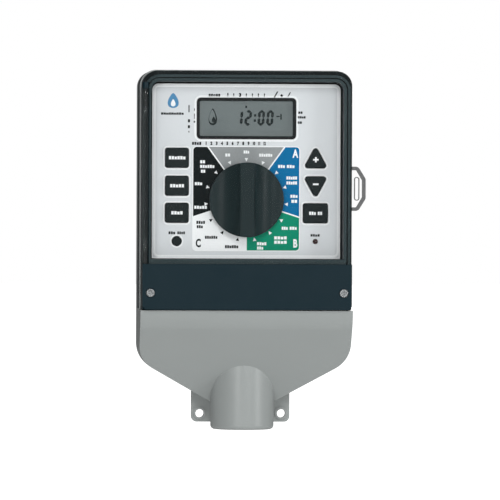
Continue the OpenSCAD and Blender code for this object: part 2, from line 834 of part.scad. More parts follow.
// Processor, memory and the supply's capacitors on the back of the main board
module board_chips() {
    color(key_black) {
        block([-9, lcd_z - 12], [9, lcd_z + 6], board_back - 1.6, board_back);
        block([14, lcd_z - 8], [24, lcd_z - 2], board_back - 1.8, board_back);
        peg(30, board_low + 20, 5, board_back - 14, board_back);
        peg(30, board_low + 34, 4, board_back - 11, board_back);
    }
}

// One output switch for each valve circuit
module output_triacs() {
    color(key_black) for (i = [0 : 7])
        block([-board_half + 9 + i * 6, board_low + 14], [-board_half + 13.6 + i * 6, board_low + 16.2],
            board_back - 15, board_back);
}

module battery_holder() {
    color(key_black) difference() {
        peg(-28, dial_z + 8, 12, board_back - 4.4, board_back);
        peg(-28, dial_z + 8, 10.15, board_back - 5, board_back - 0.8);
    }
}

module backup_battery() {
    color(steel) peg(-28, dial_z + 8, 10, board_back - 4, board_back - 0.8);
}

module fuse() {
    color([0.8, 0.85, 0.85, 0.5]) translate([20, -fuse_depth, fuse_z]) rotate([0, 90, 0]) cylinder(r = 2.5, h = 20);
}

module fuse_clips() {
    color([0.80, 0.65, 0.30]) for (x = [20, 36]) difference() {
        block([x, fuse_z - 3.6], [x + 4, fuse_z + 3.6], fuse_depth - 1, board_back);
        translate([x - 1, -fuse_depth, fuse_z]) rotate([0, 90, 0]) cylinder(r = 2.52, h = 6);
    }
}

module key_switches() {
    color(key_black) for (place = key_places) {
        block(place - [3, 3], place + [3, 3], board_front, board_front + switch_h);
        peg(place[0], place[1], 1.75, board_front + switch_h - eps, key_back - key_travel - 0.3 - 0.6);
    }
}

module lamp_led() {
    color([0.9, 0.9, 0.85]) peg(lamp[0], lamp[1], lamp_d / 2 - 0.2, board_front, panel_back + 0.1);
}

module lamp_lens() {
    color([0.35, 0.08, 0.08]) peg(lamp[0], lamp[1], lamp_d / 2, panel_back + 0.2, film_front + 0.4);
}

module switch_body() {
    color([0.25, 0.27, 0.30]) difference() {
        union() {
            block([-15, dial_z - 15], [15, dial_z + 15], board_front, panel_back - 0.1);
            peg(0, dial_z, bushing_r, panel_back - 0.1 - eps, bushing_front);
        }
        peg(0, dial_z, shaft_r + shaft_clear, board_front + 1, bushing_front + eps);
    }
}

module switch_nut() {
    color(steel) difference() {
        translate([0, -film_front, dial_z]) rotate([90, 0, 0]) cylinder(r = nut_r, h = nut_front - film_front, $fn = 6);
        peg(0, dial_z, bushing_r + 0.02, film_front - eps, nut_front + eps);
    }
}

module switch_shaft() {
    color(steel) peg(0, dial_z, shaft_r, board_front + 1.2, shaft_front);
}

module dial_knob() {
    top_span = sqrt(pow(scoop_r, 2) - pow(scoop_r - dial_h + dial_base_h, 2));
    color([0.14, 0.19, 0.20]) difference() {
        peg(0, dial_z, dial_d / 2, dial_back, dial_front);
        for (side = [-1, 1])
            translate([side * (grip_w / 2 + top_span), -(dial_back + dial_base_h + scoop_r), dial_z - dial_d])
                cylinder(r = scoop_r, h = 2 * dial_d);
        peg(0, dial_z, dial_recess_r, dial_back - eps, dial_recess_front);
        peg(0, dial_z, shaft_r + 0.02, dial_recess_front - eps, shaft_front + 0.2);
        translate([0, -(dial_recess_front + 2.6), dial_z - dial_d]) cylinder(r = 1.52, h = dial_d);
    }
}

module knob_screw() {
    color(steel) translate([0, -(dial_recess_front + 2.6), dial_z - 12]) cylinder(r = 1.5, h = 12 - shaft_r - 0.1);
}

// A key: its cap, the flange that keeps it in and the stub over its switch
module key(place, proud) {
    translate([place[0], 0, place[1]]) {
        plate(key_back, film_front + proud) children(0);
        plate(key_back, key_back + key_flange_t) children(1);
        peg(0, 0, 2, key_back - 0.6, key_back + eps);
    }
}

module rect_key(place) {
    color(key_black) key(place, key_proud) {
        key_outline(0);
        key_outline(key_flange);
    }
}

module arrow_key(place, up) {
    color(key_black) key(place, key_proud) {
        arrow_outline(up, 0);
        arrow_outline(up, key_flange);
    }
}

module key_enter() {
    color(key_black) key(right_keys[2], key_proud) {
        wide_key_outline(0);
        wide_key_outline(key_flange);
    }
}

module key_round() {
    color(key_black) key(round_key, key_proud / 2) {
        circle(round_key_d / 2);
        circle(round_key_d / 2 + key_flange);
    }
}

module ribbon_cable() {
    plug_back = board_back - ribbon_plug[1];
    x = ribbon_w / 2;
    color([0.55, 0.56, 0.60]) {
        block([-x, ribbon_top_z - ribbon_t / 2], [x, ribbon_top_z + ribbon_t / 2], ribbon_back, plug_back);
        block([-x, ribbon_low_z - ribbon_t / 2], [x, ribbon_top_z + ribbon_t / 2], ribbon_back,
            ribbon_back + ribbon_t);
        block([-x, ribbon_low_z - ribbon_t / 2], [x, ribbon_low_z + ribbon_t / 2],
            terminal_depth + board_t + ribbon_plug[1], ribbon_back + ribbon_t);
    }
}

module ribbon_plugs() {
    x = ribbon_plug[0] / 2;
    z = ribbon_plug[2] / 2;
    color(key_black) {
        block([-x, ribbon_top_z - z], [x, ribbon_top_z + z], board_back - ribbon_plug[1], board_back);
        block([-x, ribbon_low_z - z], [x, ribbon_low_z + z], terminal_depth + board_t,
            terminal_depth + board_t + ribbon_plug[1]);
    }
}

module terminal_board() {
    color(board_green) plate(terminal_depth, terminal_depth + board_t) translate([0, terminal_z]) difference() {
        square([2 * terminal_board_half, terminal_board_h], center = true);
        for (x = [-terminal_post_x, terminal_post_x]) for (up = [-1, 1])
            translate([x, up * (terminal_board_h / 2 - 4)]) circle(1.5);
    }
}

module terminal_board_screws() {
    color(steel) for (x = [-terminal_post_x, terminal_post_x]) for (up = [-1, 1])
        translate([0, 0, up * (terminal_board_h / 2 - 4)]) {
            peg(x, terminal_z, 1.25, terminal_depth - 8, terminal_depth + board_t + eps);
            peg(x, terminal_z, 2.6, terminal_depth + board_t, terminal_depth + board_t + 1.8);
        }
}

// The wires enter from below and the screws are driven from the front
module terminal_block() {
    front = terminal_front;
    color([0.20, 0.45, 0.25]) difference() {
        block([-terminal_half, terminal_low], [terminal_half, terminal_low + terminal_h], terminal_depth + board_t,
            front);
        for (i = [0 : terminal_n - 1]) {
            x = terminal_x0 + i * terminal_pitch;
            peg(x, terminal_low + terminal_h / 2, 2.2, front - 6, front + eps);
            peg(x, terminal_low + terminal_h / 2, 1.25, front - 11, front);
            block([x - terminal_wire_w / 2, terminal_low - eps], [x + terminal_wire_w / 2, terminal_low + 5],
                front - 10.5, front - 6.5);
        }
    }
}

module terminal_screws() {
    color(steel) for (i = [0 : terminal_n - 1]) {
        x = terminal_x0 + i * terminal_pitch;
        peg(x, terminal_low + terminal_h / 2, 2, terminal_front - 6, terminal_front - 3.5);
        peg(x, terminal_low + terminal_h / 2, 1.2, terminal_front - 10.8, terminal_front - 6 + eps);
    }
}

module transformer_core() {
    color([0.35, 0.33, 0.32]) plate(core_depth, core_depth + core_t) translate([coil_x, coil_z]) difference() {
        square([core_w, core_h], center = true);
        for (side = [-1, 1]) translate([side * (leg_half + window_w / 2), 0])
            square([window_w, window_h], center = true);
    }
}

module transformer_coil() {
    x = leg_half + window_w - coil_clear;
    z = window_h / 2 - coil_clear;
    leg = leg_half + coil_clear;
    color([0.75, 0.68, 0.40]) translate([coil_x, 0, coil_z]) difference() {
        block([-x, -z], [x, z], core_depth - coil_over, core_depth + core_t + coil_over);
        block([-leg, -core_h], [leg, core_h], core_depth - coil_clear, core_depth + core_t + coil_clear);
    }
}

module transformer_bracket() {
    x = core_w / 2;
    z = bracket_h / 2;
    base = bracket_depth + bracket_t;
    color(steel) translate([coil_x, 0, coil_z]) difference() {
        union() {
            block([-bracket_half, -z], [bracket_half, z], bracket_depth, base);
            for (side = [-1, 1]) block([side * (x + bracket_t / 2 + 0.05) - bracket_t / 2, -z],
                [side * (x + bracket_t / 2 + 0.05) + bracket_t / 2, z], base - eps, core_depth + core_t);
        }
        for (side = [-1, 1]) peg(side * bracket_screw_x, 0, 1.7, bracket_depth - eps, base + eps);
    }
}

module transformer_screws() {
    color(steel) for (side = [-1, 1]) {
        peg(coil_x + side * bracket_screw_x, coil_z, 1.45, wall + 0.6, bracket_depth + bracket_t + eps);
        peg(coil_x + side * bracket_screw_x, coil_z, 2.8, bracket_depth + bracket_t, bracket_depth + bracket_t + 2);
    }
}

// A lead from the coil's front, up past the core and back into a terminal
module lead(x) {
    out = core_depth + core_t + coil_over / 2;
    in = terminal_front - 8.5;
    low = coil_z + window_h / 2 - coil_clear;
    bend = terminal_low - 4;
    translate([x, -out, low]) cylinder(r = lead_r, h = bend - low);
    translate([x, -out, bend]) sphere(lead_r);
    translate([x, -in, bend]) rotate([90, 0, 0]) cylinder(r = lead_r, h = out - in);
    translate([x, -in, bend]) sphere(lead_r);
    translate([x, -in, bend]) cylinder(r = lead_r, h = terminal_low + 4.5 - bend);
}

module power_leads() {
    first = ceil((coil_x - 4 - terminal_x0) / terminal_pitch);
    color([0.7, 0.12, 0.10]) for (i = [first, first + 1]) lead(terminal_x0 + i * terminal_pitch);
}

back_housing();
insert_nuts();
cover_gasket();
front_cover();
cover_screws();
hinge_pins();
door();
faceplate();
panel_film();
panel_screws();
lcd_bezel();
lcd_window();
lcd_glass();
lcd_holder();
lcd_contacts();
main_board();
board_screws();
board_chips();
output_triacs();
battery_holder();
backup_battery();
fuse();
fuse_clips();
key_switches();
lamp_led();
lamp_lens();
switch_body();
switch_nut();
switch_shaft();
dial_knob();
knob_screw();
rect_key(left_keys[0]);  // key_left_top
rect_key(left_keys[1]);  // key_left_middle
rect_key(left_keys[2]);  // key_left_bottom
arrow_key(right_keys[0], true);  // key_plus
arrow_key(right_keys[1], false);  // key_minus
key_enter();
key_round();
ribbon_cable();
ribbon_plugs();
terminal_board();
terminal_board_screws();
terminal_block();
terminal_screws();
transformer_core();
transformer_coil();
transformer_bracket();
transformer_screws();
power_leads();
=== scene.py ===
import json
import math

import bmesh
import bpy
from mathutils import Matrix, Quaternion, Vector


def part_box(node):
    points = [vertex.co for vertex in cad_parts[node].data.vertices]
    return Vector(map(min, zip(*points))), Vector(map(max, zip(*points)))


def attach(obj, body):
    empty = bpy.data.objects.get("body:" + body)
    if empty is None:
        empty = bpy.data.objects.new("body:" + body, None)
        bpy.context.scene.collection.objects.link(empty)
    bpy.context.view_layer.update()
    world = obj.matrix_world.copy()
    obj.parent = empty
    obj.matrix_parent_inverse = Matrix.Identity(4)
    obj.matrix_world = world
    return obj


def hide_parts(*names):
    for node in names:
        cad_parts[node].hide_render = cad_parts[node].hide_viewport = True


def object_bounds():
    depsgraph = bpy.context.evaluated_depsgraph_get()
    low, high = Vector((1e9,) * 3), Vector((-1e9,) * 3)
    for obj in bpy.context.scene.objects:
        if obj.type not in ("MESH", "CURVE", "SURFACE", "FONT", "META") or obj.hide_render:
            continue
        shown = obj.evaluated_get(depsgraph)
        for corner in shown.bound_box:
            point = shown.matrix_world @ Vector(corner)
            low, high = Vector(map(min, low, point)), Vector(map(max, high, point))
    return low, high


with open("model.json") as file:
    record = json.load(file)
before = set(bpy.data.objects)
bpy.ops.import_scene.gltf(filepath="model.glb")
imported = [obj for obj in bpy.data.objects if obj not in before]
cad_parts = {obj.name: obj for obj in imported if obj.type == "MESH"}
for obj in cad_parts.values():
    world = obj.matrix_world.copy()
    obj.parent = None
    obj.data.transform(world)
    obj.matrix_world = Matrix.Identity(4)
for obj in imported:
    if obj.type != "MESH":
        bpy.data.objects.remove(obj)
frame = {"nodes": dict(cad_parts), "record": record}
cadLow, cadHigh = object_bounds()
nodes = frame["nodes"]
bodyOf = {node: body for body, members in frame["record"]["behaviour"]["bodies"].items() for node in members}
mm = 0.001
print("frame loaded:", len(nodes), "nodes")


# Places worked out from the frame, in millimetres; depth is the distance out from the wall

def boxOf(node):
    low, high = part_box(node)
    return {
        "left": low.x / mm,
        "right": high.x / mm,
        "low": low.z / mm,
        "high": high.z / mm,
        "back": -high.y / mm,
        "front": -low.y / mm,
        "x": (low.x + high.x) / 2 / mm,
        "z": (low.z + high.z) / 2 / mm,
    }


film = boxOf("panel_film")
plate = boxOf("faceplate")
knob = boxOf("dial_knob")
bezel = boxOf("lcd_bezel")
glass = boxOf("lcd_glass")
door = boxOf("door")
housing = boxOf("back_housing")
cover = boxOf("front_cover")
keyNodes = ["key_left_top", "key_left_middle", "key_left_bottom", "key_plus", "key_minus", "key_enter",
            "key_round"]
keyFlange = 1.0  # the hidden flange that stands out round each key, inside the panel


# Shader groups shared by the finishes

skinOutputs = [("Colour", "NodeSocketColor"), ("Roughness", "NodeSocketFloat"), ("Height", "NodeSocketFloat")]


def newGroup(name, inputs):
    group = bpy.data.node_groups.new(name, "ShaderNodeTree")
    for label, value in inputs.items():
        kind = "NodeSocketFloat" if isinstance(value, float) else "NodeSocketColor"
        socket = group.interface.new_socket(name=label, in_out="INPUT", socket_type=kind)
        socket.default_value = value
    for label, kind in skinOutputs:
        group.interface.new_socket(name=label, in_out="OUTPUT", socket_type=kind)
    entry = group.nodes.new("NodeGroupInput")
    leave = group.nodes.new("NodeGroupOutput")
    return group, entry, leave


def mathNode(tree, operation, first, second=None, third=None, clamp=False):
    node = tree.nodes.new("ShaderNodeMath")
    node.operation = operation
    node.use_clamp = clamp
    for index, value in enumerate((first, second, third)):
        if value is None:
            continue
        if isinstance(value, (int, float)):
            node.inputs[index].default_value = value
        else:
            tree.links.new(value, node.inputs[index])
    return node.outputs[0]


def times(tree, first, second, clamp=False):
    return mathNode(tree, "MULTIPLY", first, second, clamp=clamp)


def plus(tree, first, second, clamp=False):
    return mathNode(tree, "ADD", first, second, clamp=clamp)


def minus(tree, first, second):
    return mathNode(tree, "SUBTRACT", first, second)


def aboutHalf(tree, value, amount):
    # a noise turned into a swing to both sides of nothing
    return times(tree, minus(tree, value, 0.5), amount)


def shaded(tree, colour, factor):
    node = tree.nodes.new("ShaderNodeVectorMath")
    node.operation = "SCALE"
    tree.links.new(colour, node.inputs[0])
    tree.links.new(factor, node.inputs["Scale"])
    return node.outputs[0]


def closeGroup(group, leave, colour, rough, height):
    for label, output in (("Colour", colour), ("Roughness", rough), ("Height", height)):
        group.links.new(output, leave.inputs[label])
    return group


def mixColour(tree, factor, first, second):
    node = tree.nodes.new("ShaderNodeMix")
    node.data_type = "RGBA"
    for socket, value in ((node.inputs[0], factor), (node.inputs[6], first), (node.inputs[7], second)):
        if isinstance(value, (int, float, tuple)):
            socket.default_value = value
        else:
            tree.links.new(value, socket)
    return node.outputs[2]


def noiseNode(tree, place, scale, detail=2.0, rough=0.5):
    node = tree.nodes.new("ShaderNodeTexNoise")
    node.inputs["Detail"].default_value = detail
    node.inputs["Roughness"].default_value = rough
    tree.links.new(place, node.inputs["Vector"])
    if isinstance(scale, (int, float)):
        node.inputs["Scale"].default_value = scale
    else:
        tree.links.new(scale, node.inputs["Scale"])
    return node.outputs["Fac"]


# Moulded plastic: a spark-eroded grain, slow colour drift, shiny handled patches and dust that settles on top
def makeMouldedSkin():
    group, entry, leave = newGroup("mouldedSkin", {
        "Colour": (0.5, 0.5, 0.5, 1), "Drift": 0.06, "Roughness": 0.5, "Grain Size": 0.8, "Dust": 0.1})
    place = group.nodes.new("ShaderNodeTexCoord")
    spot = place.outputs["Object"]
    fineScale = mathNode(group, "DIVIDE", 1000.0, entry.outputs["Grain Size"])
    fine = noiseNode(group, spot, fineScale, 2.0, 0.6)
    slow = noiseNode(group, spot, 22.0, 3.0, 0.55)
    patch = noiseNode(group, spot, 60.0, 2.0, 0.5)
    shade = aboutHalf(group, slow, entry.outputs["Drift"])
    speckle = aboutHalf(group, fine, times(group, entry.outputs["Drift"], 0.5))
    bright = plus(group, plus(group, shade, speckle), 1.0)
    tone = shaded(group, entry.outputs["Colour"], bright)
    split = group.nodes.new("ShaderNodeSeparateXYZ")
    group.links.new(place.outputs["Normal"], split.inputs[0])
    upward = mathNode(group, "POWER", mathNode(group, "MAXIMUM", split.outputs["Z"], 0.0), 3.0)
    settled = times(group, times(group, upward, patch), entry.outputs["Dust"], clamp=True)
    dusty = mixColour(group, settled, tone, (0.55, 0.53, 0.50, 1))
    handled = plus(group, entry.outputs["Roughness"], aboutHalf(group, patch, 0.16))
    rough = plus(group, handled, settled, clamp=True)
    return closeGroup(group, leave, dusty, rough, fine)


# Printed ink or film: a fine screen-print speckle and a slight unevenness of its sheen
def makePrintSkin():
    group, entry, leave = newGroup("printSkin", {
        "Colour": (0.5, 0.5, 0.5, 1), "Speckle": 0.05, "Roughness": 0.4})
    place = group.nodes.new("ShaderNodeTexCoord")
    spot = place.outputs["Object"]
    dots = group.nodes.new("ShaderNodeTexVoronoi")
    dots.inputs["Scale"].default_value = 2600.0
    group.links.new(spot, dots.inputs["Vector"])
    wash = noiseNode(group, spot, 35.0, 3.0, 0.5)
    grain = times(group, minus(group, dots.outputs["Distance"], 0.35), entry.outputs["Speckle"])
    slow = aboutHalf(group, wash, entry.outputs["Speckle"])
    bright = plus(group, plus(group, grain, slow), 1.0)
    tone = shaded(group, entry.outputs["Colour"], bright)
    rough = plus(group, entry.outputs["Roughness"], aboutHalf(group, wash, 0.14), clamp=True)
    return closeGroup(group, leave, tone, rough, dots.outputs["Distance"])


# Worked metal: fine drawn lines along one direction and faint darker stains
def makeMetalSkin():
    group, entry, leave = newGroup("metalSkin", {
        "Colour": (0.7, 0.7, 0.7, 1), "Stain": 0.2, "Roughness": 0.3, "Lines": 2500.0})
    place = group.nodes.new("ShaderNodeTexCoord")
    stretch = group.nodes.new("ShaderNodeMapping")
    stretch.inputs["Scale"].default_value = (1.0, 0.06, 1.0)
    group.links.new(place.outputs["Object"], stretch.inputs["Vector"])
    lines = noiseNode(group, stretch.outputs[0], entry.outputs["Lines"], 2.0, 0.6)
    stain = noiseNode(group, place.outputs["Object"], 180.0, 3.0, 0.6)
    dark = times(group, stain, entry.outputs["Stain"], clamp=True)
    colour = mixColour(group, dark, entry.outputs["Colour"], (0.16, 0.15, 0.14, 1))
    rough = plus(group, entry.outputs["Roughness"], aboutHalf(group, lines, 0.3), clamp=True)
    return closeGroup(group, leave, colour, rough, lines)


# Circuit board: green mask with copper runs showing through it and small tinned pads
def makeBoardSkin():
    group, entry, leave = newGroup("boardSkin", {
        "Mask Colour": (0.02, 0.16, 0.07, 1), "Run Colour": (0.05, 0.30, 0.12, 1), "Pitch": 2.54})
    place = group.nodes.new("ShaderNodeTexCoord")
    split = group.nodes.new("ShaderNodeSeparateXYZ")
    group.links.new(place.outputs["Object"], split.inputs[0])
    perMetre = mathNode(group, "DIVIDE", 1000.0, entry.outputs["Pitch"])
    across = mathNode(group, "FRACT", times(group, split.outputs["X"], perMetre))
    along = mathNode(group, "FRACT", times(group, split.outputs["Z"], perMetre))
    cells = group.nodes.new("ShaderNodeTexVoronoi")
    cells.distance = "MANHATTAN"
    cells.inputs["Scale"].default_value = 110.0
    group.links.new(place.outputs["Object"], cells.inputs["Vector"])
    pick = mathNode(group, "GREATER_THAN", cells.outputs["Distance"], 0.55)
    runAcross = mathNode(group, "COMPARE", across, 0.5, 0.16)
    runAlong = mathNode(group, "COMPARE", along, 0.5, 0.16)
    others = minus(group, 1.0, pick)
    chosen = plus(group, times(group, runAcross, pick), times(group, runAlong, others), clamp=True)
    pads = times(group, mathNode(group, "COMPARE", across, 0.5, 0.3),
                 mathNode(group, "COMPARE", along, 0.5, 0.3))
    sparse = mathNode(group, "GREATER_THAN", noiseNode(group, place.outputs["Object"], 160.0, 1.0), 0.58)
    tinned = times(group, pads, sparse)
    colour = mixColour(group, chosen, entry.outputs["Mask Colour"], entry.outputs["Run Colour"])
    plated = mixColour(group, tinned, colour, (0.62, 0.62, 0.60, 1))
    rough = minus(group, 0.42, times(group, tinned, 0.15))
    return closeGroup(group, leave, plated, rough, plus(group, chosen, tinned))


skins = {
    "moulded": makeMouldedSkin(),
    "print": makePrintSkin(),
    "metal": makeMetalSkin(),
    "board": makeBoardSkin(),
}
print("shader groups made:", ", ".join(skins))


# Finishes

def newMaterial(name):
    material = bpy.data.materials.new(name)
    material.use_nodes = True
    tree = material.node_tree
    shader = next(node for node in tree.nodes if node.type == "BSDF_PRINCIPLED")
    return material, tree, shader


def addBump(tree, shader, height, depth):
    bump = tree.nodes.new("ShaderNodeBump")
    bump.inputs["Distance"].default_value = depth * mm
    tree.links.new(height, bump.inputs["Height"])
    tree.links.new(bump.outputs["Normal"], shader.inputs["Normal"])


def skinned(name, skin, look, values):
    material, tree, shader = newMaterial(name)
    group = tree.nodes.new("ShaderNodeGroup")
    group.node_tree = skins[skin]
    for label, value in values.items():
        group.inputs[label].default_value = value
    tree.links.new(group.outputs["Colour"], shader.inputs["Base Color"])
    tree.links.new(group.outputs["Roughness"], shader.inputs["Roughness"])
    shader.inputs["Metallic"].default_value = look.get("metallic", 0.0)
    shader.inputs["Specular IOR Level"].default_value = look.get("specular", 0.5)
    shader.inputs["Coat Weight"].default_value = look.get("coat", 0.0)
    shader.inputs["Coat Roughness"].default_value = look.get("coatRoughness", 0.1)
    addBump(tree, shader, group.outputs["Height"], look.get("bump", 0.02))
    return material


def plastic(name, colour, look):
    values = {"Colour": (*colour, 1), "Drift": look.get("drift", 0.08), "Dust": look.get("dust", 0.12),
              "Roughness": look.get("roughness", 0.5), "Grain Size": look.get("grain", 0.8)}
    return skinned(name, "moulded", look, values)


def ink(name, colour, look):
    values = {"Colour": (*colour, 1), "Speckle": look.get("speckle", 0.05),
              "Roughness": look.get("roughness", 0.42)}
    return skinned(name, "print", look, values)


def metal(name, colour, look):
    values = {"Colour": (*colour, 1), "Stain": look.get("stain", 0.2), "Lines": look.get("lines", 2500.0),
              "Roughness": look.get("roughness", 0.3)}
    return skinned(name, "metal", {"metallic": 1.0, "bump": 0.004, **look}, values)


def board(name, maskColour, runColour):
    values = {"Mask Colour": (*maskColour, 1), "Run Colour": (*runColour, 1), "Pitch": 2.54}
    return skinned(name, "board", {"bump": 0.03}, values)


plasticLooks = {
    "housingGrey": ((0.305, 0.327, 0.322), {"roughness": 0.36, "grain": 0.9, "bump": 0.03, "drift": 0.06}),
    "coverDark": ((0.006, 0.020, 0.028), {"roughness": 0.36, "grain": 0.9, "bump": 0.025, "drift": 0.10,
                                          "specular": 0.12, "dust": 0.02}),
    "coverShade": ((0.002, 0.006, 0.007), {"roughness": 0.45, "specular": 0.1, "dust": 0.0}),
    "coverBeadHighlight": ((0.020, 0.037, 0.041), {"roughness": 0.34, "specular": 0.2, "dust": 0.0}),
    "seamLipHighlight": ((0.46, 0.49, 0.485), {"roughness": 0.40}),
    "panelWhite": ((0.86, 0.88, 0.89), {"roughness": 0.45, "grain": 0.7, "drift": 0.03}),
    "keyBlack": ((0.007, 0.013, 0.014), {"roughness": 0.42, "grain": 0.5, "drift": 0.12, "specular": 0.12,
                                         "dust": 0.0}),
    "dialDark": ((0.010, 0.021, 0.023), {"roughness": 0.38, "grain": 0.7, "drift": 0.12, "specular": 0.12,
                                         "dust": 0.02}),
    "switchGrey": ((0.05, 0.055, 0.07), {"roughness": 0.55}),
    "blackPartsAndShade": ((0.007, 0.008, 0.009), {"roughness": 0.5, "dust": 0.0, "specular": 0.15}),
    "holderWhite": ((0.72, 0.72, 0.69), {"roughness": 0.5}),
    "terminalGreen": ((0.03, 0.18, 0.06), {"roughness": 0.45}),
    "sealRubber": ((0.012, 0.012, 0.012), {"roughness": 0.8, "grain": 0.5, "bump": 0.04, "specular": 0.3}),
    "contactPink": ((0.70, 0.22, 0.30), {"roughness": 0.7, "grain": 0.35}),
    "coilTape": ((0.55, 0.42, 0.10), {"roughness": 0.4, "coat": 0.3}),
    "ribbonGrey": ((0.33, 0.34, 0.38), {"roughness": 0.55, "grain": 1.2, "bump": 0.1}),
    "leadRed": ((0.50, 0.02, 0.015), {"roughness": 0.4}),
    "diodeMilk": ((0.80, 0.80, 0.74), {"roughness": 0.3}),
}
inkLooks = {
    "filmSilver": ((0.615, 0.650, 0.670), {"speckle": 0.04, "roughness": 0.42, "bump": 0.006}),
    "inkWhite": ((0.82, 0.85, 0.86), {"speckle": 0.02, "roughness": 0.45, "bump": 0.004}),
    "inkBlack": ((0.005, 0.008, 0.009), {"speckle": 0.15, "roughness": 0.34, "bump": 0.004,
                                         "specular": 0.05}),
    "inkGrey": ((0.265, 0.285, 0.290), {"speckle": 0.30, "roughness": 0.45, "bump": 0.004, "specular": 0.1}),
    "inkBlue": ((0.001, 0.138, 0.325), {"speckle": 0.06, "bump": 0.004, "specular": 0.05}),
    "inkGreen": ((0.002, 0.235, 0.134), {"speckle": 0.06, "bump": 0.004, "specular": 0.05}),
    "inkSky": ((0.03, 0.20, 0.40), {"speckle": 0.05, "roughness": 0.42, "bump": 0.004}),
    "lcdInkAndShade": ((0.006, 0.012, 0.013), {"speckle": 0.05, "roughness": 0.5, "bump": 0.002, "specular": 0.1}),
}
metalLooks = {
    "screwSteel": ((0.34, 0.36, 0.37), {"roughness": 0.34, "stain": 0.3}),
    "innerSteel": ((0.62, 0.62, 0.62), {"roughness": 0.35, "stain": 0.2}),
    "clipBrass": ((0.70, 0.50, 0.18), {"roughness": 0.3, "stain": 0.25}),
    "coreSteel": ((0.22, 0.21, 0.20), {"roughness": 0.5, "stain": 0.4, "lines": 4000.0, "bump": 0.05}),
}
finishes = {name: plastic(name, *look) for name, look in plasticLooks.items()}
finishes.update({name: ink(name, *look) for name, look in inkLooks.items()})
finishes.update({name: metal(name, *look) for name, look in metalLooks.items()})
finishes["boardGreen"] = board("boardGreen", (0.012, 0.10, 0.045), (0.03, 0.21, 0.09))


# Clear plastic shown through its alpha: it turns more opaque where it is seen edge-on, so its grey shows
# there as a painted reflection, and its cut edges show the same grey as the painted light and shade of a
# clear edge
def clearPlastic(name, look):
    material, tree, shader = newMaterial(name)
    place = tree.nodes.new("ShaderNodeTexCoord")
    split = tree.nodes.new("ShaderNodeSeparateXYZ")
    tree.links.new(place.outputs["Normal"], split.inputs[0])
    flat = mathNode(tree, "POWER", mathNode(tree, "ABSOLUTE", split.outputs["Y"]), 6.0)
    edge = times(tree, minus(tree, 1.0, flat), look["edgeAlpha"])
    facing = tree.nodes.new("ShaderNodeLayerWeight")
    facing.inputs["Blend"].default_value = 0.25
    sheen = times(tree, mathNode(tree, "POWER", facing.outputs["Facing"], 3.0), look["sheen"])
    smear = noiseNode(tree, place.outputs["Object"], 30.0, 4.0, 0.6)
    alpha = plus(tree, plus(tree, edge, sheen), look["alpha"], clamp=True)
    rough = times(tree, smear, look["roughness"] * 2)
    shader.inputs["Base Color"].default_value = (*look["colour"], 1)
    tree.links.new(alpha, shader.inputs["Alpha"])
    tree.links.new(rough, shader.inputs["Roughness"])
    return material


clearLooks = {
    "doorClear": {"colour": (0.45, 0.50, 0.50), "alpha": 0.006, "edgeAlpha": 0.62, "sheen": 0.75,
                  "roughness": 0.05},
    "barrelClear": {"colour": (0.30, 0.34, 0.34), "alpha": 0.04, "edgeAlpha": 0.03, "sheen": 0.5,
                    "roughness": 0.05},
    "windowClear": {"colour": (0.40, 0.44, 0.44), "alpha": 0.02, "edgeAlpha": 0.4, "sheen": 0.7,
                    "roughness": 0.04},
    "tabRimPaintedShade": {"colour": (0.155, 0.158, 0.160), "alpha": 0.86, "edgeAlpha": 0.12, "sheen": 0.3,
               "roughness": 0.16},
    "fuseGlass": {"colour": (0.7, 0.75, 0.75), "alpha": 0.25, "edgeAlpha": 0.1, "sheen": 0.8,
                  "roughness": 0.03},
}
finishes.update({name: clearPlastic(name, look) for name, look in clearLooks.items()})


# Display glass: grey-green with a soft mottle from the reflector behind it
def displayGlass(name, look):
    material, tree, shader = newMaterial(name)
    place = tree.nodes.new("ShaderNodeTexCoord")
    mottle = noiseNode(tree, place.outputs["Object"], 700.0, 2.0, 0.5)
    slow = noiseNode(tree, place.outputs["Object"], 40.0, 2.0, 0.5)
    both = plus(tree, times(tree, mottle, 0.35), times(tree, slow, 0.65))
    colour = mixColour(tree, both, (*look["dark"], 1), (*look["light"], 1))
    tree.links.new(colour, shader.inputs["Base Color"])
    rough = plus(tree, times(tree, slow, 0.1), 0.25)
    tree.links.new(rough, shader.inputs["Roughness"])
    return material


glassLook = {"dark": (0.105, 0.134, 0.136), "light": (0.143, 0.176, 0.177)}
finishes["displayGlass"] = displayGlass("displayGlass", glassLook)


# The lamp's lens: deep red, nearly black while the lamp is off
def lensRed(name):
    material, tree, shader = newMaterial(name)
    place = tree.nodes.new("ShaderNodeTexCoord")
    facets = tree.nodes.new("ShaderNodeTexVoronoi")
    facets.inputs["Scale"].default_value = 1800.0
    tree.links.new(place.outputs["Object"], facets.inputs["Vector"])
    colour = mixColour(tree, facets.outputs["Distance"], (0.012, 0.006, 0.006, 1), (0.05, 0.010, 0.010, 1))
    tree.links.new(colour, shader.inputs["Base Color"])
    shader.inputs["Roughness"].default_value = 0.18
    addBump(tree, shader, facets.outputs["Distance"], 0.05)
    return material


finishes["lensRed"] = lensRed("lensRed")
print("finishes made:", len(finishes))


# Mesh helpers

def weldedCopy(node):
    # a node's mesh as one welded skin, with each flat area back in one piece
    bm = bmesh.new()
    bm.from_mesh(nodes[node].data)
    bmesh.ops.remove_doubles(bm, verts=bm.verts, dist=0.002 * mm)
    bmesh.ops.dissolve_limit(bm, angle_limit=math.radians(1), verts=bm.verts, edges=bm.edges)
    return bm


def roundEdges(bm, width, segments, wanted):
    chosen = [edge for edge in bm.edges if len(edge.link_faces) == 2
              and edge.calc_face_angle(0) >= math.radians(30) and wanted(edge)]
    if chosen:
        bmesh.ops.bevel(bm, geom=chosen, offset=width * mm, offset_type="OFFSET", segments=segments,
                        profile=0.5, affect="EDGES", clamp_overlap=True, loop_slide=True)
    return len(chosen)


def middleOf(edge):
    return (edge.verts[0].co + edge.verts[1].co) / 2 / mm


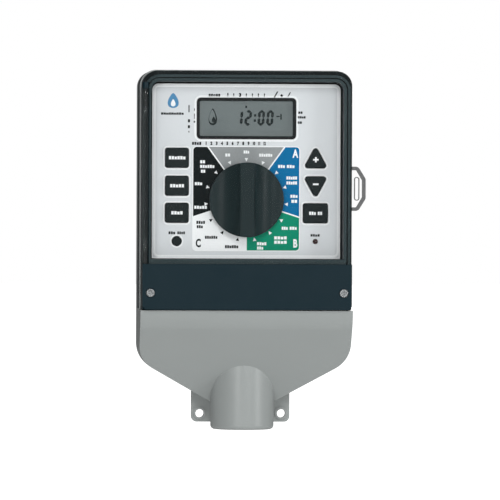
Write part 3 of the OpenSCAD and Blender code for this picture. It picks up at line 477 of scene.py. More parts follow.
def cutAcross(bm, place, normal):
    bmesh.ops.bisect_plane(bm, geom=bm.verts[:] + bm.edges[:] + bm.faces[:], dist=0.001 * mm,
                           plane_co=place, plane_no=normal)


def depthAt(edge):
    return [-vert.co.y / mm for vert in edge.verts]


def pieceFrom(bm, name, body, materials, standsFor=(), smooth=35):
    bmesh.ops.recalc_face_normals(bm, faces=bm.faces)
    mesh = bpy.data.meshes.new(name)
    bm.to_mesh(mesh)
    bm.free()
    for material in materials:
        mesh.materials.append(finishes[material])
    mesh.shade_smooth()
    mesh.set_sharp_from_angle(angle=math.radians(smooth))
    piece = bpy.data.objects.new(name, mesh)
    bpy.context.scene.collection.objects.link(piece)
    weighted = piece.modifiers.new("evenNormals", "WEIGHTED_NORMAL")
    weighted.keep_sharp = True
    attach(piece, body)
    if standsFor:
        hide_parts(*standsFor)
    return piece


def prism(bm, outline, back, front, index=0):
    # a thin solid between two depths, from its x-z outline in millimetres, drawn anticlockwise
    rear = [bm.verts.new((x * mm, -back * mm, z * mm)) for x, z in outline]
    face = [bm.verts.new((x * mm, -front * mm, z * mm)) for x, z in outline]
    made = [bm.faces.new(face), bm.faces.new(rear[::-1])]
    for i in range(len(outline)):
        j = (i + 1) % len(outline)
        made.append(bm.faces.new((rear[i], rear[j], face[j], face[i])))
    for item in made:
        item.material_index = index


def rectangle(x, z, width, height):
    return [(x - width / 2, z - height / 2), (x + width / 2, z - height / 2),
            (x + width / 2, z + height / 2), (x - width / 2, z + height / 2)]


def roundedOutline(x, z, width, height, radius, steps=5):
    points = []
    for turn, (sx, sz) in enumerate(((1, -1), (1, 1), (-1, 1), (-1, -1))):
        cx = x + sx * (width / 2 - radius)
        cz = z + sz * (height / 2 - radius)
        for step in range(steps + 1):
            angle = math.radians(-90 + turn * 90 + 90 * step / steps)
            points.append((cx + radius * math.cos(angle), cz + radius * math.sin(angle)))
    return points


def roundedCorners(centres, radius, steps=5):
    # an outline from the centres of its corners, anticlockwise
    points = []
    count = len(centres)
    for i, (cx, cz) in enumerate(centres):
        ax, az = centres[i - 1]
        bx, bz = centres[(i + 1) % count]
        enter = math.atan2(cz - az, cx - ax) - math.pi / 2
        turn = (math.atan2(bz - cz, bx - cx) - math.atan2(cz - az, cx - ax)) % (2 * math.pi)
        for step in range(steps + 1):
            angle = enter + turn * step / steps
            points.append((cx + radius * math.cos(angle), cz + radius * math.sin(angle)))
    return points


def circleOutline(x, z, radius, count=32):
    return [(x + radius * math.cos(2 * math.pi * i / count), z + radius * math.sin(2 * math.pi * i / count))
            for i in range(count)]


def ringPrism(bm, outer, inner, back, front, index=0, openEnds=False):
    # a flat ring between two outlines with the same number of points, or a strip if its ends are open
    levels = []
    for outline, depth in ((outer, back), (outer, front), (inner, front), (inner, back)):
        levels.append([bm.verts.new((x * mm, -depth * mm, z * mm)) for x, z in outline])
    count = len(outer)
    for a in range(4):
        b = (a + 1) % 4
        for i in range(count - openEnds):
            j = (i + 1) % count
            bm.faces.new((levels[a][i], levels[a][j], levels[b][j], levels[b][i])).material_index = index
    if openEnds:
        for i in (0, count - 1):
            bm.faces.new([level[i] for level in levels]).material_index = index


def roundedRing(bm, box, grow, radius, margins, back, front):
    # a ring round a box's middle, between two margins outside its size plus grow
    width = box["right"] - box["left"] + grow
    height = box["high"] - box["low"] + grow
    rims = [roundedOutline(box["x"], box["z"], width + 2 * out, height + 2 * out, radius + out)
            for out in margins]
    ringPrism(bm, rims[0], rims[1], back, front)


def clipped(outline, point, normal):
    # the part of a convex outline behind the line through point, across its normal
    kept = []
    for i, (x, z) in enumerate(outline):
        nx, nz = outline[(i + 1) % len(outline)]
        here = (x - point[0]) * normal[0] + (z - point[1]) * normal[1]
        there = (nx - point[0]) * normal[0] + (nz - point[1]) * normal[1]
        if here <= 0:
            kept.append((x, z))
        if (here < 0 < there) or (there < 0 < here):
            share = here / (here - there)
            kept.append((x + share * (nx - x), z + share * (nz - z)))
    return kept


def glyphs(bm, text, x, z, height, back, front, index=0, squeeze=1.0, bold=0.0):
    # plain numbers or single letters as a thin solid, centred on x and z
    curve = bpy.data.curves.new("glyphs", "FONT")
    curve.body = text
    curve.align_x = "CENTER"
    curve.align_y = "CENTER"
    curve.size = height * mm / 0.7
    curve.resolution_u = 3
    curve.offset = bold * mm
    holder = bpy.data.objects.new("glyphs", curve)
    bpy.context.scene.collection.objects.link(holder)
    bpy.context.view_layer.update()
    outlineMesh = holder.to_mesh()
    flat = bmesh.new()
    flat.from_mesh(outlineMesh)
    bmesh.ops.remove_doubles(flat, verts=flat.verts, dist=0.001 * mm)
    grown = bmesh.ops.extrude_face_region(flat, geom=flat.faces[:])
    lifted = [item for item in grown["geom"] if isinstance(item, bmesh.types.BMVert)]
    bmesh.ops.translate(flat, vec=Vector((0, 0, (front - back) * mm)), verts=lifted)
    for vert in flat.verts:
        vert.co = Vector((vert.co.x * squeeze + x * mm, -back * mm - vert.co.z, vert.co.y + z * mm))
    for face in flat.faces:
        face.material_index = index
    bmesh.ops.recalc_face_normals(flat, faces=flat.faces)
    joined = bpy.data.meshes.new("glyphs")
    flat.to_mesh(joined)
    flat.free()
    bm.from_mesh(joined)
    bpy.data.meshes.remove(joined)
    holder.to_mesh_clear()
    bpy.data.objects.remove(holder)
    bpy.data.curves.remove(curve)


def blocks(bm, left, right, z, height, count, back, front, index=0):
    # a row of plain blocks that stands where a word would be
    pitch = (right - left) / count
    for i in range(count):
        shorter = 0.14 * height * ((i * 5) % 3 == 1)
        shape = rectangle(left + pitch * (i + 0.5), z - shorter / 2, pitch * 0.82, height - shorter)
        prism(bm, shape, back, front, index)


# Shells: housing, front cover, faceplate

housingLook = {"edge": 1.0, "segments": 3, "mouthEdge": 2.6, "mouthSegments": 5, "neckDepth": 23.0,
               "neckInside": 19.5, "darkFrom": 20.0, "sideWidth": 2.5, "topWidth": 11.0, "lipFrom": 70.5,
               "lipHeight": 2.0}
coverLook = {"edge": 0.55, "segments": 3, "seat": 73.2}
plateLook = {"edge": 0.45, "segments": 2}


def buildHousing():
    bm = weldedCopy("back_housing")
    look = housingLook

    def mouthRim(edge):
        middle = middleOf(edge)
        fromNeck = math.hypot(middle.x, -middle.y - look["neckDepth"])
        return middle.z < housing["low"] + 0.05 and fromNeck > look["neckInside"]

    def outside(edge):
        middle = middleOf(edge)
        depth = -middle.y
        if edge.calc_length() < 0.05 * mm:
            return False
        nearEar = middle.z < housing["low"] + 22 and depth < 7 and abs(middle.x) > 20
        inCavity = 3.5 < depth < 40 and middle.z > -40 and abs(middle.x) < housing["right"] - 3
        atMouth = middle.z < housing["low"] + look["mouthEdge"] + 0.3
        return not inCavity and not nearEar and not atMouth
    roundEdges(bm, look["mouthEdge"], look["mouthSegments"], mouthRim)
    count = roundEdges(bm, look["edge"], look["segments"], outside)
    cutAcross(bm, (0, 0, cover["low"] * mm), (0, 0, 1))
    cutAcross(bm, (0, -look["darkFrom"] * mm, 0), (0, 1, 0))
    for face in bm.faces:  # round the sides and the top its front part is as dark as the cover
        middle = face.calc_center_median() / mm
        atSide = abs(middle.x) > housing["right"] - look["sideWidth"]
        atTop = middle.z > housing["high"] - look["topWidth"]
        belowSeam = cover["low"] - look["lipHeight"] < middle.z < cover["low"]
        if middle.z > cover["low"] and (atSide or atTop) and -middle.y > look["darkFrom"]:
            face.material_index = 1
        # faces just under the seam that face up get a lighter grey: a painted highlight on the housing's top
        # edge, which lies in the cover's shade
        elif belowSeam and -middle.y > look["lipFrom"] and face.normal.z > 0.1:
            face.material_index = 2
    print("housing: rounded", count, "edges")
    return pieceFrom(bm, "housing_shell", "case",
                     ["housingGrey", "coverDark", "seamLipHighlight"], ["back_housing"])


def buildCover():
    bm = weldedCopy("front_cover")

    def visible(edge):
        nearest = min(depthAt(edge))
        nearHinge = middleOf(edge).x < -63 and nearest > 69 and edge.calc_length() < 1.2 * mm
        return nearest > 57 and not nearHinge
    count = roundEdges(bm, coverLook["edge"], coverLook["segments"], visible)
    for face in bm.faces:  # painted highlight on the beads' tops, and painted shade in the grooves and the strip beside them
        middle = face.calc_center_median() / mm
        fromSeat = -middle.y - coverLook["seat"]
        if face.normal.y < -0.6 and middle.z > plate["low"] - 3 and -4 < fromSeat < 0.2:
            face.material_index = 2 if fromSeat > -0.4 else 1
    print("cover: rounded", count, "edges")
    return pieceFrom(bm, "cover_shell", "case", ["coverDark", "coverShade", "coverBeadHighlight"],
                     ["front_cover"])


def buildFaceplate():
    bm = weldedCopy("faceplate")

    def front(edge):
        return min(depthAt(edge)) > plate["front"] - 0.01
    count = roundEdges(bm, plateLook["edge"], plateLook["segments"], front)
    rimDepth = plate["front"] - plateLook["edge"]
    for face in bm.faces:  # the sides and the back get black as painted shade, so the gap round the panel reads black
        face.material_index = int(-face.calc_center_median().y / mm < rimDepth)
    print("faceplate: rounded", count, "edges")
    return pieceFrom(bm, "faceplate_shell", "case", ["panelWhite", "blackPartsAndShade"],
                     ["faceplate"])


buildHousing()
buildCover()
buildFaceplate()


# Dial knob: disc, waisted grip and two scoops

knobLook = {"edge": 0.6, "segments": 4, "waist": 0.10, "reach": 8.5, "slices": 24,
            "shaftHole": 3.6}


def buildKnob():
    bm = weldedCopy("dial_knob")
    radius = (knob["right"] - knob["left"]) / 2

    def outer(edge):
        middle = middleOf(edge)
        fromCentre = math.hypot(middle.x - knob["x"], middle.z - knob["z"])
        return -middle.y > knob["back"] + 0.5 and fromCentre > knobLook["shaftHole"]
    count = roundEdges(bm, knobLook["edge"], knobLook["segments"], outer)
    for i in range(1, knobLook["slices"]):
        z = (knob["low"] + (knob["high"] - knob["low"]) * i / knobLook["slices"]) * mm
        cutAcross(bm, (0, 0, z), (0, 0, 1))
    for vert in bm.verts:
        x = vert.co.x / mm - knob["x"]
        z = vert.co.z / mm - knob["z"]
        if abs(x) > knobLook["reach"] or -vert.co.y / mm < knob["back"] + 2:
            continue
        middleness = max(0.0, 1 - (z / radius) ** 2)
        fade = min(1.0, (knobLook["reach"] - abs(x)) / 3)
        vert.co.x = (knob["x"] + x * (1 - knobLook["waist"] * middleness * fade)) * mm
    print("knob: rounded", count, "edges")
    return pieceFrom(bm, "selector_knob", "dial", ["dialDark"], ["dial_knob"], smooth=50)


buildKnob()


# Keys, each with a rounded rim and a shallow dish

keyLook = {"edge": 0.55, "segments": 3, "dishRim": 0.7, "dishDepth": 0.12}
legendLook = {"sunk": 0.03, "proud": 0.03}


def buildKey(node):
    bm = weldedCopy(node)
    front = boxOf(node)["front"]
    roundEdges(bm, keyLook["edge"], keyLook["segments"], lambda edge: min(depthAt(edge)) > front - 0.01)
    top = max((face for face in bm.faces if face.normal.y < -0.99), key=lambda face: (
        round(-face.calc_center_median().y / mm, 2), face.calc_area()))
    bmesh.ops.inset_individual(bm, faces=[top], thickness=keyLook["dishRim"] * mm,
                               depth=-keyLook["dishDepth"] * mm)
    return pieceFrom(bm, node + "_cap", bodyOf[node], ["keyBlack"], [node])


def legendDepths(node):
    face = boxOf(node)["front"] - keyLook["dishDepth"]
    return face - legendLook["sunk"], face + legendLook["proud"]


def buildLegend(node, draw):
    bm = bmesh.new()
    box = boxOf(node)
    draw(bm, box["x"], box["z"], *legendDepths(node))
    return pieceFrom(bm, node + "_legend", bodyOf[node], ["inkWhite"])


def wordLegend(width, height, counts):
    def draw(bm, x, z, back, front):
        gap = 1.0
        unit = (width - gap * (len(counts) - 1)) / sum(counts)
        left = x - width / 2
        for count in counts:
            blocks(bm, left, left + unit * count, z, height, count, back, front)
            left += unit * count + gap
    return draw


def plusLegend(bm, x, z, back, front):
    arm = 1.75
    thick = 0.55
    drop = -0.9
    outline = [(-thick, -arm), (thick, -arm), (thick, -thick), (arm, -thick), (arm, thick), (thick, thick),
               (thick, arm), (-thick, arm), (-thick, thick), (-arm, thick), (-arm, -thick), (-thick, -thick)]
    prism(bm, [(x + dx, z + drop + dz) for dx, dz in outline], back, front)


def minusLegend(bm, x, z, back, front):
    prism(bm, rectangle(x, z + 1.3, 3.6, 1.1), back, front)


for keyNode in keyNodes:
    buildKey(keyNode)
buildLegend("key_left_top", wordLegend(11.0, 2.1, [6]))
buildLegend("key_left_middle", wordLegend(9.2, 2.1, [5]))
buildLegend("key_left_bottom", wordLegend(7.6, 2.1, [4]))
buildLegend("key_enter", wordLegend(8.6, 2.1, [3, 2]))
buildLegend("key_plus", plusLegend)
buildLegend("key_minus", minusLegend)
print("keys made:", len(keyNodes))


# Printed film: the dial's five sectors and all marks

printLook = {"base": 0.02, "sector": 0.035, "mark": 0.06, "line": 0.45, "border": 0.5, "halo": 0.9}
dialField = {"halfWidth": 34.2, "above": 34.0, "below": 32.6, "radius": 2.2, "hole": 9.6}
sectors = {"inkGrey": 0, "inkBlue": 72, "inkGreen": 144, "inkBlack": 288}  # each colour and its middle angle
dialX = knob["x"]
dialZ = knob["z"]


def fieldOutline(grow):
    width = 2 * (dialField["halfWidth"] + grow)
    height = dialField["above"] + dialField["below"] + 2 * grow
    z = dialZ + (dialField["above"] - dialField["below"]) / 2
    return roundedOutline(dialX, z, width, height, dialField["radius"] + grow)


def clockwise(angle, radius=1.0):
    # a direction or point given by its angle clockwise from the top of the dial
    return radius * math.sin(math.radians(angle)), radius * math.cos(math.radians(angle))


def sectorOutline(middle, half=36.0, grow=0.0, gap=0.0):
    # one sector of the field, with the dial's own hole cut from its point
    outline = fieldOutline(grow)
    for side in (-1, 1):
        along = clockwise(middle + side * half)
        normal = (side * along[1], -side * along[0])
        outline = clipped(outline, (dialX - normal[0] * gap, dialZ - normal[1] * gap), normal)
    tip = min(range(len(outline)), key=lambda i: math.hypot(outline[i][0] - dialX, outline[i][1] - dialZ))
    lean = math.degrees(math.asin(gap / dialField["hole"]))
    arc = []
    for step in range(13):
        angle = middle - half + lean + (2 * half - 2 * lean) * step / 12
        dx, dz = clockwise(angle, dialField["hole"])
        arc.append((dialX + dx, dialZ + dz))
    return outline[:tip] + arc + outline[tip + 1:]


def buildDialField():
    bm = bmesh.new()
    front = film["front"]
    for middle in range(0, 360, 72):
        prism(bm, sectorOutline(middle, grow=printLook["border"]), front - 0.02, front + printLook["base"])
    for index, middle in enumerate(sectors.values(), 1):
        shape = sectorOutline(middle, gap=printLook["line"])
        prism(bm, shape, front + 0.005, front + printLook["sector"], index)
    return pieceFrom(bm, "dial_print", "case", ["inkWhite", *sectors])


# Each row of blocks, by its ink: left, right, height above the dial's centre, blocks
dialRows = {
    "inkWhite": [
        (-29.9, -26.5, 24.4, 2), (-29.9, -20.5, 21.4, 6), (-29.4, -26.4, 18.3, 2), (-33.3, -28.3, 10.3, 3),
        (-33.6, -25.2, -4.9, 5), (-1.9, 1.9, 30.8, 3), (-13.7, -10.4, 28.8, 2), (8.1, 16.8, 28.8, 6),
        (20.4, 25.0, 21.6, 3), (26.0, 31.2, 21.6, 3), (25.8, 32.8, 14.2, 5), (25.8, 32.8, 11.0, 5),
        (28.4, 33.2, 2.4, 3), (29.0, 33.0, -0.8, 2), (22.9, 27.0, -18.2, 3), (28.0, 32.8, -18.2, 3),
        (18.0, 26.4, -24.4, 4), (18.0, 26.4, -27.2, 4), (7.0, 13.2, -28.2, 4), (7.0, 11.2, -31.0, 3),
    ],
    "inkBlack": [
        (-32.2, -26.4, -14.6, 4), (-31.9, -27.8, -17.4, 3), (-26.6, -18.4, -24.2, 6), (-13.7, -4.9, -30.2, 6),
    ],
}
programLetters = [("A", 31.6, 29.6, 0), ("B", 31.7, -28.2, 0), ("C", -30.8, -28.2, 1)]  # with the ink's place
dialMarkLook = {"rowHeight": 1.95, "letterHeight": 5.0, "letterSqueeze": 0.66, "letterBold": 0.28,
                "pointerStep": 24, "pointerTip": 24.7, "pointerEnd": 27.0, "pointerHalf": 2.4}


def buildDialMarks():
    front = film["front"] + printLook["sector"] - 0.005
    top = film["front"] + printLook["mark"]
    bm = bmesh.new()
    back = front - 0.01
    look = dialMarkLook
    for index, rows in enumerate(dialRows.values()):
        for left, right, up, count in rows:
            blocks(bm, dialX + left, dialX + right, dialZ + up, look["rowHeight"], count, back, top, index)
    for letter, x, up, index in programLetters:
        glyphs(bm, letter, dialX + x, dialZ + up, look["letterHeight"], back, top, index,
               look["letterSqueeze"], look["letterBold"])
    for angle in range(0, 360, look["pointerStep"]):
        corners = [(dialX + x, dialZ + z) for x, z in (
            clockwise(angle, look["pointerTip"]), clockwise(angle - look["pointerHalf"], look["pointerEnd"]),
            clockwise(angle + look["pointerHalf"], look["pointerEnd"]))]
        prism(bm, corners, back, top, int(180 < angle < 252))
    return pieceFrom(bm, "dial_marks", "case", list(dialRows))


# Rows and labels on the silver film: left, right, z, height, blocks
panelRows = [
    (-24.6, -16.9, 100.0, 1.7, 5), (-35.2, -29.0, 68.9, 1.9, 4), (33.2, 36.2, 89.0, 1.5, 2),
    (33.0, 38.2, 86.0, 1.5, 4), (32.9, 35.8, 82.6, 1.5, 2), (-50.1, -45.6, 11.3, 1.8, 3),
    (-44.4, -39.3, 11.3, 1.8, 4), (41.5, 47.6, 10.0, 1.6, 4), (-55.2, -40.4, 88.0, 1.5, 9),
]
upperTicks = [-12.1, -8.3, -4.2, -0.2, 3.7, 7.6, 11.5]
tickLook = {"z": 100.1, "width": 0.7, "height": 2.2}
sideMarks = [(-37.1, 91.2, 0.7, 4.6), (-37.1, 83.4, 1.3, 2.0), (-37.1, 79.6, 1.3, 1.9),
             (-37.1, 76.4, 0.6, 1.0), (-33.6, 82.8, 0.9, 1.2), (-33.6, 86.4, 0.5, 3.4),
             (-33.6, 90.6, 0.5, 1.6)]
stationRow = {"start": -26.0, "pitch": 3.42, "z": 68.9, "height": 1.9, "count": 12}
slantedMarks = [(18.9, 0.9, 3.9, 2.2), (27.4, 0.8, 3.0, 1.6)]  # x, width, height, lean


def dropOutline(x, z, width, height, steps=18):
    # a water drop: a round bottom that runs up into a point
    points = []
    for step in range(steps * 2):
        angle = math.pi * step / steps
        swell = math.sin(angle) * (1 - 0.42 * (math.cos(angle) + 1) / 2 * 1.5)
        points.append((x + width / 2 * swell * 1.12, z + height / 2 * math.cos(angle)))
    return points[::-1]


def buildPanelMarks():
    back = film["front"] - 0.02
    top = film["front"] + printLook["base"]
    bm = bmesh.new()
    for left, right, z, height, count in panelRows:
        blocks(bm, left, right, z, height, count, back, top)
    for i, x in enumerate(upperTicks):
        if i in (0, 2):
            glyphs(bm, str(i + 1), x, tickLook["z"], 2.1, back, top, bold=0.22)
        else:
            prism(bm, rectangle(x, tickLook["z"], tickLook["width"], tickLook["height"]), back, top)
    for x, z, width, height in sideMarks:
        prism(bm, rectangle(x, z, width, height), back, top)
    for i in range(stationRow["count"]):
        glyphs(bm, str(i + 1), stationRow["start"] + stationRow["pitch"] * i, stationRow["z"],
               stationRow["height"], back, top, squeeze=0.85 if i < 9 else 0.6, bold=0.2)
    for x, width, height, lean in slantedMarks:  # at the right end of the upper row
        low = 100.6 - height / 2
        high = 100.6 + height / 2
        shape = [(x - lean / 2 - width / 2, low), (x - lean / 2 + width / 2, low),
                 (x + lean / 2 + width / 2, high), (x + lean / 2 - width / 2, high)]
        prism(bm, shape, back, top)
    prism(bm, circleOutline(22.6, 99.9, 1.05, 4), back, top)
    prism(bm, dropOutline(-47.3, 96.4, 8.6, 9.6), back, top, 1)
    prism(bm, dropOutline(-47.3, 94.9, 3.6, 4.6), top - 0.01, top + 0.02, 2)
    return pieceFrom(bm, "panel_marks", "case", ["inkBlack", "inkSky", "inkWhite"])


# A white line printed round the film's edge, each key, the round button and the display
def buildHalos():
    back = film["front"] - 0.02
    top = film["front"] + printLook["base"]
    gap = 0.55
    wide = printLook["halo"]
    bm = bmesh.new()
    for node in ("key_left_top", "key_left_middle", "key_left_bottom", "key_enter"):
        roundedRing(bm, boxOf(node), -2 * keyFlange, 1.3, (gap + wide, gap), back, top)
    for node, up in (("key_plus", 1), ("key_minus", -1)):
        box = boxOf(node)
        radius = 1.6
        x = (box["right"] - box["left"]) / 2 - keyFlange - radius
        z = (box["high"] - box["low"]) / 2 - keyFlange - radius
        centres = [(box["x"] - x, box["z"] - z), (box["x"] + x, box["z"] - z), (box["x"], box["z"] + z)]
        if up < 0:
            centres = [(box["x"] + x, box["z"] + z), (box["x"] - x, box["z"] + z), (box["x"], box["z"] - z)]
        rims = [roundedCorners(centres, radius + out, 6) for out in (gap + wide, gap)]
        ringPrism(bm, rims[0], rims[1], back, top)
    width = film["right"] - film["left"]
    height = film["high"] - film["low"]
    rims = [roundedOutline(film["x"], film["z"], width - 2 * into, height - 2 * into, 3.2 - into * 0.8)
            for into in (0.15, printLook["border"] + 0.9)]
    ringPrism(bm, rims[0], rims[1], back, top)
    button = boxOf("key_round")
    radius = (button["right"] - button["left"]) / 2 - keyFlange
    ringPrism(bm, circleOutline(button["x"], button["z"], radius + 1.3),
              circleOutline(button["x"], button["z"], radius + gap), back, top)
    roundedRing(bm, bezel, 0, 2.6, (1.5, 0.45), back, top)
    return pieceFrom(bm, "panel_halos", "case", ["inkWhite"])


buildDialField()
buildDialMarks()
buildPanelMarks()
buildHalos()
print("film printed")


# Display: slanted clock digits and a watering sign on the glass

lcdLook = {"shade": 0.9, "digitWidth": 2.75, "digitHeight": 8.3, "stroke": 1.75, "slant": 0.08, "z": 85.5}
digitPlaces = [("1", -5.8), ("2", -0.1), ("0", 8.3), ("0", 13.95)]  # each digit and its left edge
segmentsOf = {"0": "abcdef", "1": "bc", "2": "abged"}


def segmentOutlines(digit, left, z):
    w = lcdLook["digitWidth"]
    h = lcdLook["digitHeight"]
    half = lcdLook["stroke"] / 2
    slant = lcdLook["slant"]

    def bar(x0, z0, x1, z1):
        if abs(z1 - z0) < 0.001:
            return [(x0, z0), (x0 + half, z0 - half), (x1 - half, z0 - half), (x1, z0),
                    (x1 - half, z0 + half), (x0 + half, z0 + half)]
        return [(x0, z0), (x0 + half, z0 + half), (x0 + half, z1 - half), (x0, z1),
                (x0 - half, z1 - half), (x0 - half, z0 + half)]
    places = {
        "a": (0, h, w, h), "b": (w, h / 2, w, h), "c": (w, 0, w, h / 2), "d": (0, 0, w, 0),
        "e": (0, 0, 0, h / 2), "f": (0, h / 2, 0, h), "g": (0, h / 2, w, h / 2),
    }
    return [[(left + x + (up - h / 2) * slant, z + up - h / 2) for x, up in bar(*places[letter])]
            for letter in segmentsOf[digit]]


def buildDisplaySigns():
    back = glass["front"] - 0.01
    top = glass["front"] + 0.04
    bm = bmesh.new()
    # a dark ring just inside the bezel: painted shade that the bezel's edge casts on the glass
    roundedRing(bm, bezel, -2.2, 1.8, (0, -lcdLook["shade"]), back, top)
    z = lcdLook["z"]
    for digit, left in digitPlaces:
        for outline in segmentOutlines(digit, left, z):
            prism(bm, outline, back, top)
    for x, up in ((5.75, 1.6), (5.5, -1.7)):
        prism(bm, rectangle(x, z + up, 1.5, 1.6), back, top)
    prism(bm, rectangle(-0.1, 92.6, 1.2, 1.5), back, top)
    prism(bm, rectangle(20.5, 86.5, 2.2, 0.8), back, top)
    prism(bm, rectangle(22.4, 86.2, 0.9, 3.8), back, top)
    outer = dropOutline(-21.6, 86.0, 6.6, 10.8)
    inner = dropOutline(-21.9, 86.3, 5.0, 8.6)
    ringPrism(bm, outer, inner, back, top)
    prism(bm, dropOutline(-21.0, 84.3, 3.0, 3.8), back, top)
    return pieceFrom(bm, "display_signs", "case", ["lcdInkAndShade"])


buildDisplaySigns()
print("display signs made")


# Clear door with a thick-rimmed pull tab

doorLook = {"edge": 0.35, "barrel": 4.0, "rimWidth": 2.3, "rimProud": 0.45, "slotRim": 0.6}
tabShape = {"height": 28.4, "radius": 3.0, "slotOut": 1.8, "slotWidth": 2.2, "slotHeight": 14.0}


def tabOutline(inset):
    # the tab's outline, drawn in by a margin, from the housing's side outward
    radius = tabShape["radius"]
    half = tabShape["height"] / 2 - radius
    tip = door["right"] - radius
    root = housing["right"] + 1
    start = root - 2.4
    corners = [(root, tabZ - half), (tip, tabZ - half / 2 + 0.35), (tip, tabZ + half / 2 - 0.35),
               (root, tabZ + half)]
    outline = roundedCorners([(start, tabZ - half), *corners, (start, tabZ + half)], radius - inset, 5)[6:30]
    return [(start, tabZ - half - radius + inset), *outline, (start, tabZ + half + radius - inset)]


# the tab's rim and the slot's edge are clear plastic tinted grey: painted shade for how the thick clear rim
# bends the light
def buildTabRim():
    bm = bmesh.new()
    back = door["front"] - 1.98
    front = door["front"] + doorLook["rimProud"]
    ringPrism(bm, tabOutline(0.02), tabOutline(doorLook["rimWidth"]), back, front, openEnds=True)
    slotX = housing["right"] + tabShape["slotOut"]
    width = tabShape["slotWidth"]
    height = tabShape["slotHeight"]
    rims = [roundedOutline(slotX, tabZ, width + 2 * out, height + 2 * out, 1 + out)
            for out in (doorLook["slotRim"], 0.02)]
    ringPrism(bm, rims[0], rims[1], back, door["front"] + 0.05)
    roundEdges(bm, 0.3, 2, lambda edge: min(depthAt(edge)) > door["front"] + 0.2)
    return pieceFrom(bm, "tab_rim", "door", ["tabRimPaintedShade"])


def buildDoor():
    bm = weldedCopy("door")

    def plateEdge(edge):
        return min(depthAt(edge)) > door["front"] - 2.01 and edge.calc_length() > 0.3 * mm
    count = roundEdges(bm, doorLook["edge"], 2, plateEdge)
    for face in bm.faces:
        middle = face.calc_center_median() / mm
        inBarrel = middle.x < door["left"] + doorLook["barrel"]
        face.material_index = int(inBarrel and abs(face.normal.z) < 0.9)
    print("door: rounded", count, "edges")
    return pieceFrom(bm, "clear_door", "door", ["doorClear", "barrelClear"], ["door"])


tabNode = [vert.co for vert in nodes["door"].data.vertices if vert.co.x / mm > door["right"] - 0.2]
tabZ = (min(co.z for co in tabNode) + max(co.z for co in tabNode)) / 2 / mm
buildDoor()
buildTabRim()
print("door made, tab centred at", round(tabZ, 2))


# Screws

def buildCoverScrews():
    bm = weldedCopy("cover_screws")
    front = boxOf("cover_screws")["front"]

    def head(edge):
        return max(depthAt(edge)) > front - 0.01 and min(depthAt(edge)) > front - 0.5
    roundEdges(bm, 0.3, 2, head)
    return pieceFrom(bm, "cover_screw_heads", "case", ["screwSteel"], ["cover_screws"])


buildCoverScrews()


# Finishes on the frame's own pieces

nodeFinishes = {
    "clipBrass": ["insert_nuts", "fuse_clips"],
    "sealRubber": ["cover_gasket"],
    "blackPartsAndShade": ["hinge_pins", "lcd_bezel", "board_chips", "output_triacs", "battery_holder",
                  "key_switches", "ribbon_plugs"],
    "filmSilver": ["panel_film"],
    "innerSteel": ["panel_screws", "board_screws", "backup_battery", "switch_nut", "switch_shaft",
                   "knob_screw", "terminal_board_screws", "terminal_screws", "transformer_bracket",
                   "transformer_screws"],
    "windowClear": ["lcd_window"],
    "displayGlass": ["lcd_glass"],
    "holderWhite": ["lcd_holder"],
    "contactPink": ["lcd_contacts"],
    "boardGreen": ["main_board", "terminal_board"],
    "fuseGlass": ["fuse"],
    "diodeMilk": ["lamp_led"],
    "lensRed": ["lamp_lens"],
    "switchGrey": ["switch_body"],
    "ribbonGrey": ["ribbon_cable"],
    "terminalGreen": ["terminal_block"],
    "coreSteel": ["transformer_core"],
    "coilTape": ["transformer_coil"],
    "leadRed": ["power_leads"],
}
for finish, members in nodeFinishes.items():
    for node in members:
        mesh = nodes[node].data
        mesh.materials.clear()
        mesh.materials.append(finishes[finish])
print("frame pieces finished:", sum(len(members) for members in nodeFinishes.values()))


# Stage, light and camera

stageLook = {"floorBelow": 0.16, "floorSize": 30.0, "floorTone": 0.60, "floorGlow": 1.2, "floorBounce": 0.5}
lightLook = {
    "ambient": 0.20,
    "mirrored": 0.08,
    "left": {"place": (-0.80, -2.34, 0.25), "size": 0.6, "power": 13.5},
    "right": {"place": (0.80, -2.34, 0.35), "size": 0.6, "power": 9.0},
    "upper": {"place": (0.12, -2.25, 1.05), "size": 0.6, "power": 12.0},
    "side": {"place": (2.06, -1.36, 0.15), "size": 0.6, "power": 13.0},
    "rear": {"place": (0.60, 1.80, 0.90), "size": 1.4, "power": 14.0},
}
cameraLook = {"azimuth": -3.5, "elevation": 0.6, "distance": 3.5, "lens": 389.0, "aimX": 0.0039,
              "aimZ": 0.0002, "roll": 0.24}


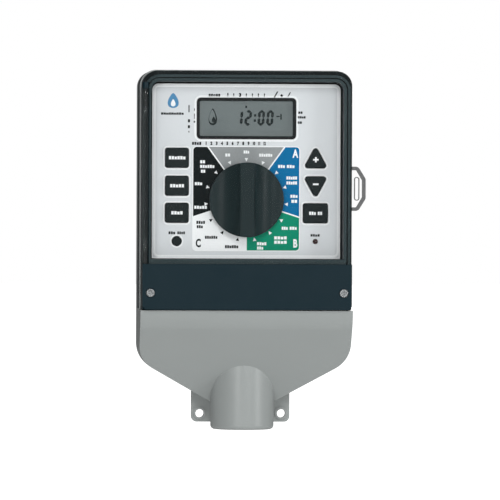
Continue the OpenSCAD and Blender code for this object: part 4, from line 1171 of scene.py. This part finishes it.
def buildStage():
    material, tree, shader = newMaterial("paleFloor")
    place = tree.nodes.new("ShaderNodeTexCoord")
    cloud = noiseNode(tree, place.outputs["Object"], 1.5, 2.0, 0.5)
    tone = stageLook["floorTone"]
    colour = mixColour(tree, cloud, (tone, tone, tone, 1), (tone * 1.02, tone * 1.02, tone * 1.02, 1))
    tree.links.new(colour, shader.inputs["Base Color"])
    shader.inputs["Roughness"].default_value = 0.9
    shader.inputs["Specular IOR Level"].default_value = 0.0
    shader.inputs["Emission Color"].default_value = (1, 1, 1, 1)
    path = tree.nodes.new("ShaderNodeLightPath")
    seen = times(tree, path.outputs["Is Camera Ray"], stageLook["floorGlow"])
    bounced = times(tree, path.outputs["Is Diffuse Ray"], stageLook["floorBounce"])
    tree.links.new(plus(tree, seen, bounced), shader.inputs["Emission Strength"])
    half = stageLook["floorSize"] / 2
    level = cadLow.z - stageLook["floorBelow"]
    mesh = bpy.data.meshes.new("stage_floor")
    corners = [(-half, -half, level), (half, -half, level), (half, half, level), (-half, half, level)]
    mesh.from_pydata(corners, [], [(0, 1, 2, 3)])
    mesh.materials.append(material)
    floor = bpy.data.objects.new("stage_floor", mesh)
    bpy.context.scene.collection.objects.link(floor)


def buildWorld():
    world = bpy.data.worlds.new("softRoom")
    bpy.context.scene.world = world
    world.use_nodes = True
    tree = world.node_tree
    background = next(node for node in tree.nodes if node.type == "BACKGROUND")
    path = tree.nodes.new("ShaderNodeLightPath")
    ambient = lightLook["ambient"]
    seen = times(tree, path.outputs["Is Camera Ray"], 1.0 - ambient)
    mirrored = times(tree, path.outputs["Is Glossy Ray"], lightLook["mirrored"] - ambient)
    strength = plus(tree, plus(tree, seen, mirrored), ambient)
    background.inputs["Color"].default_value = (1, 1, 1, 1)
    tree.links.new(strength, background.inputs["Strength"])


def addLight(name, look, aim):
    data = bpy.data.lights.new(name, "AREA")
    data.shape = "DISK"
    data.size = look["size"]
    data.energy = look["power"]
    light = bpy.data.objects.new(name, data)
    light.location = look["place"]
    light.visible_camera = False
    light.rotation_euler = (Vector(aim) - light.location).to_track_quat("-Z", "Y").to_euler()
    bpy.context.scene.collection.objects.link(light)


def buildCamera():
    look = cameraLook
    azimuth = math.radians(look["azimuth"])
    elevation = math.radians(look["elevation"])
    away = Vector((math.sin(azimuth) * math.cos(elevation), -math.cos(azimuth) * math.cos(elevation),
                   math.sin(elevation)))
    middle = (cadLow + cadHigh) / 2
    across = Vector((math.cos(azimuth), math.sin(azimuth), 0))
    aim = Vector((0, middle.y, 0)) + across * look["aimX"] + Vector((0, 0, look["aimZ"]))
    data = bpy.data.cameras.new("camera")
    data.lens = look["lens"]
    data.clip_end = 50
    camera = bpy.data.objects.new("camera", data)
    camera.location = aim + away * look["distance"]
    tilt = Quaternion((0, 0, 1), math.radians(look["roll"]))
    camera.rotation_euler = ((-away).to_track_quat("-Z", "Y") @ tilt).to_euler()
    bpy.context.scene.collection.objects.link(camera)
    bpy.context.scene.camera = camera


buildStage()
buildWorld()
for lightName in ("left", "right", "upper", "side", "rear"):
    addLight(lightName, lightLook[lightName], (0, -0.03, 0))
buildCamera()
bpy.context.scene.view_settings.view_transform = "Standard"
print("stage, lights and camera ready")
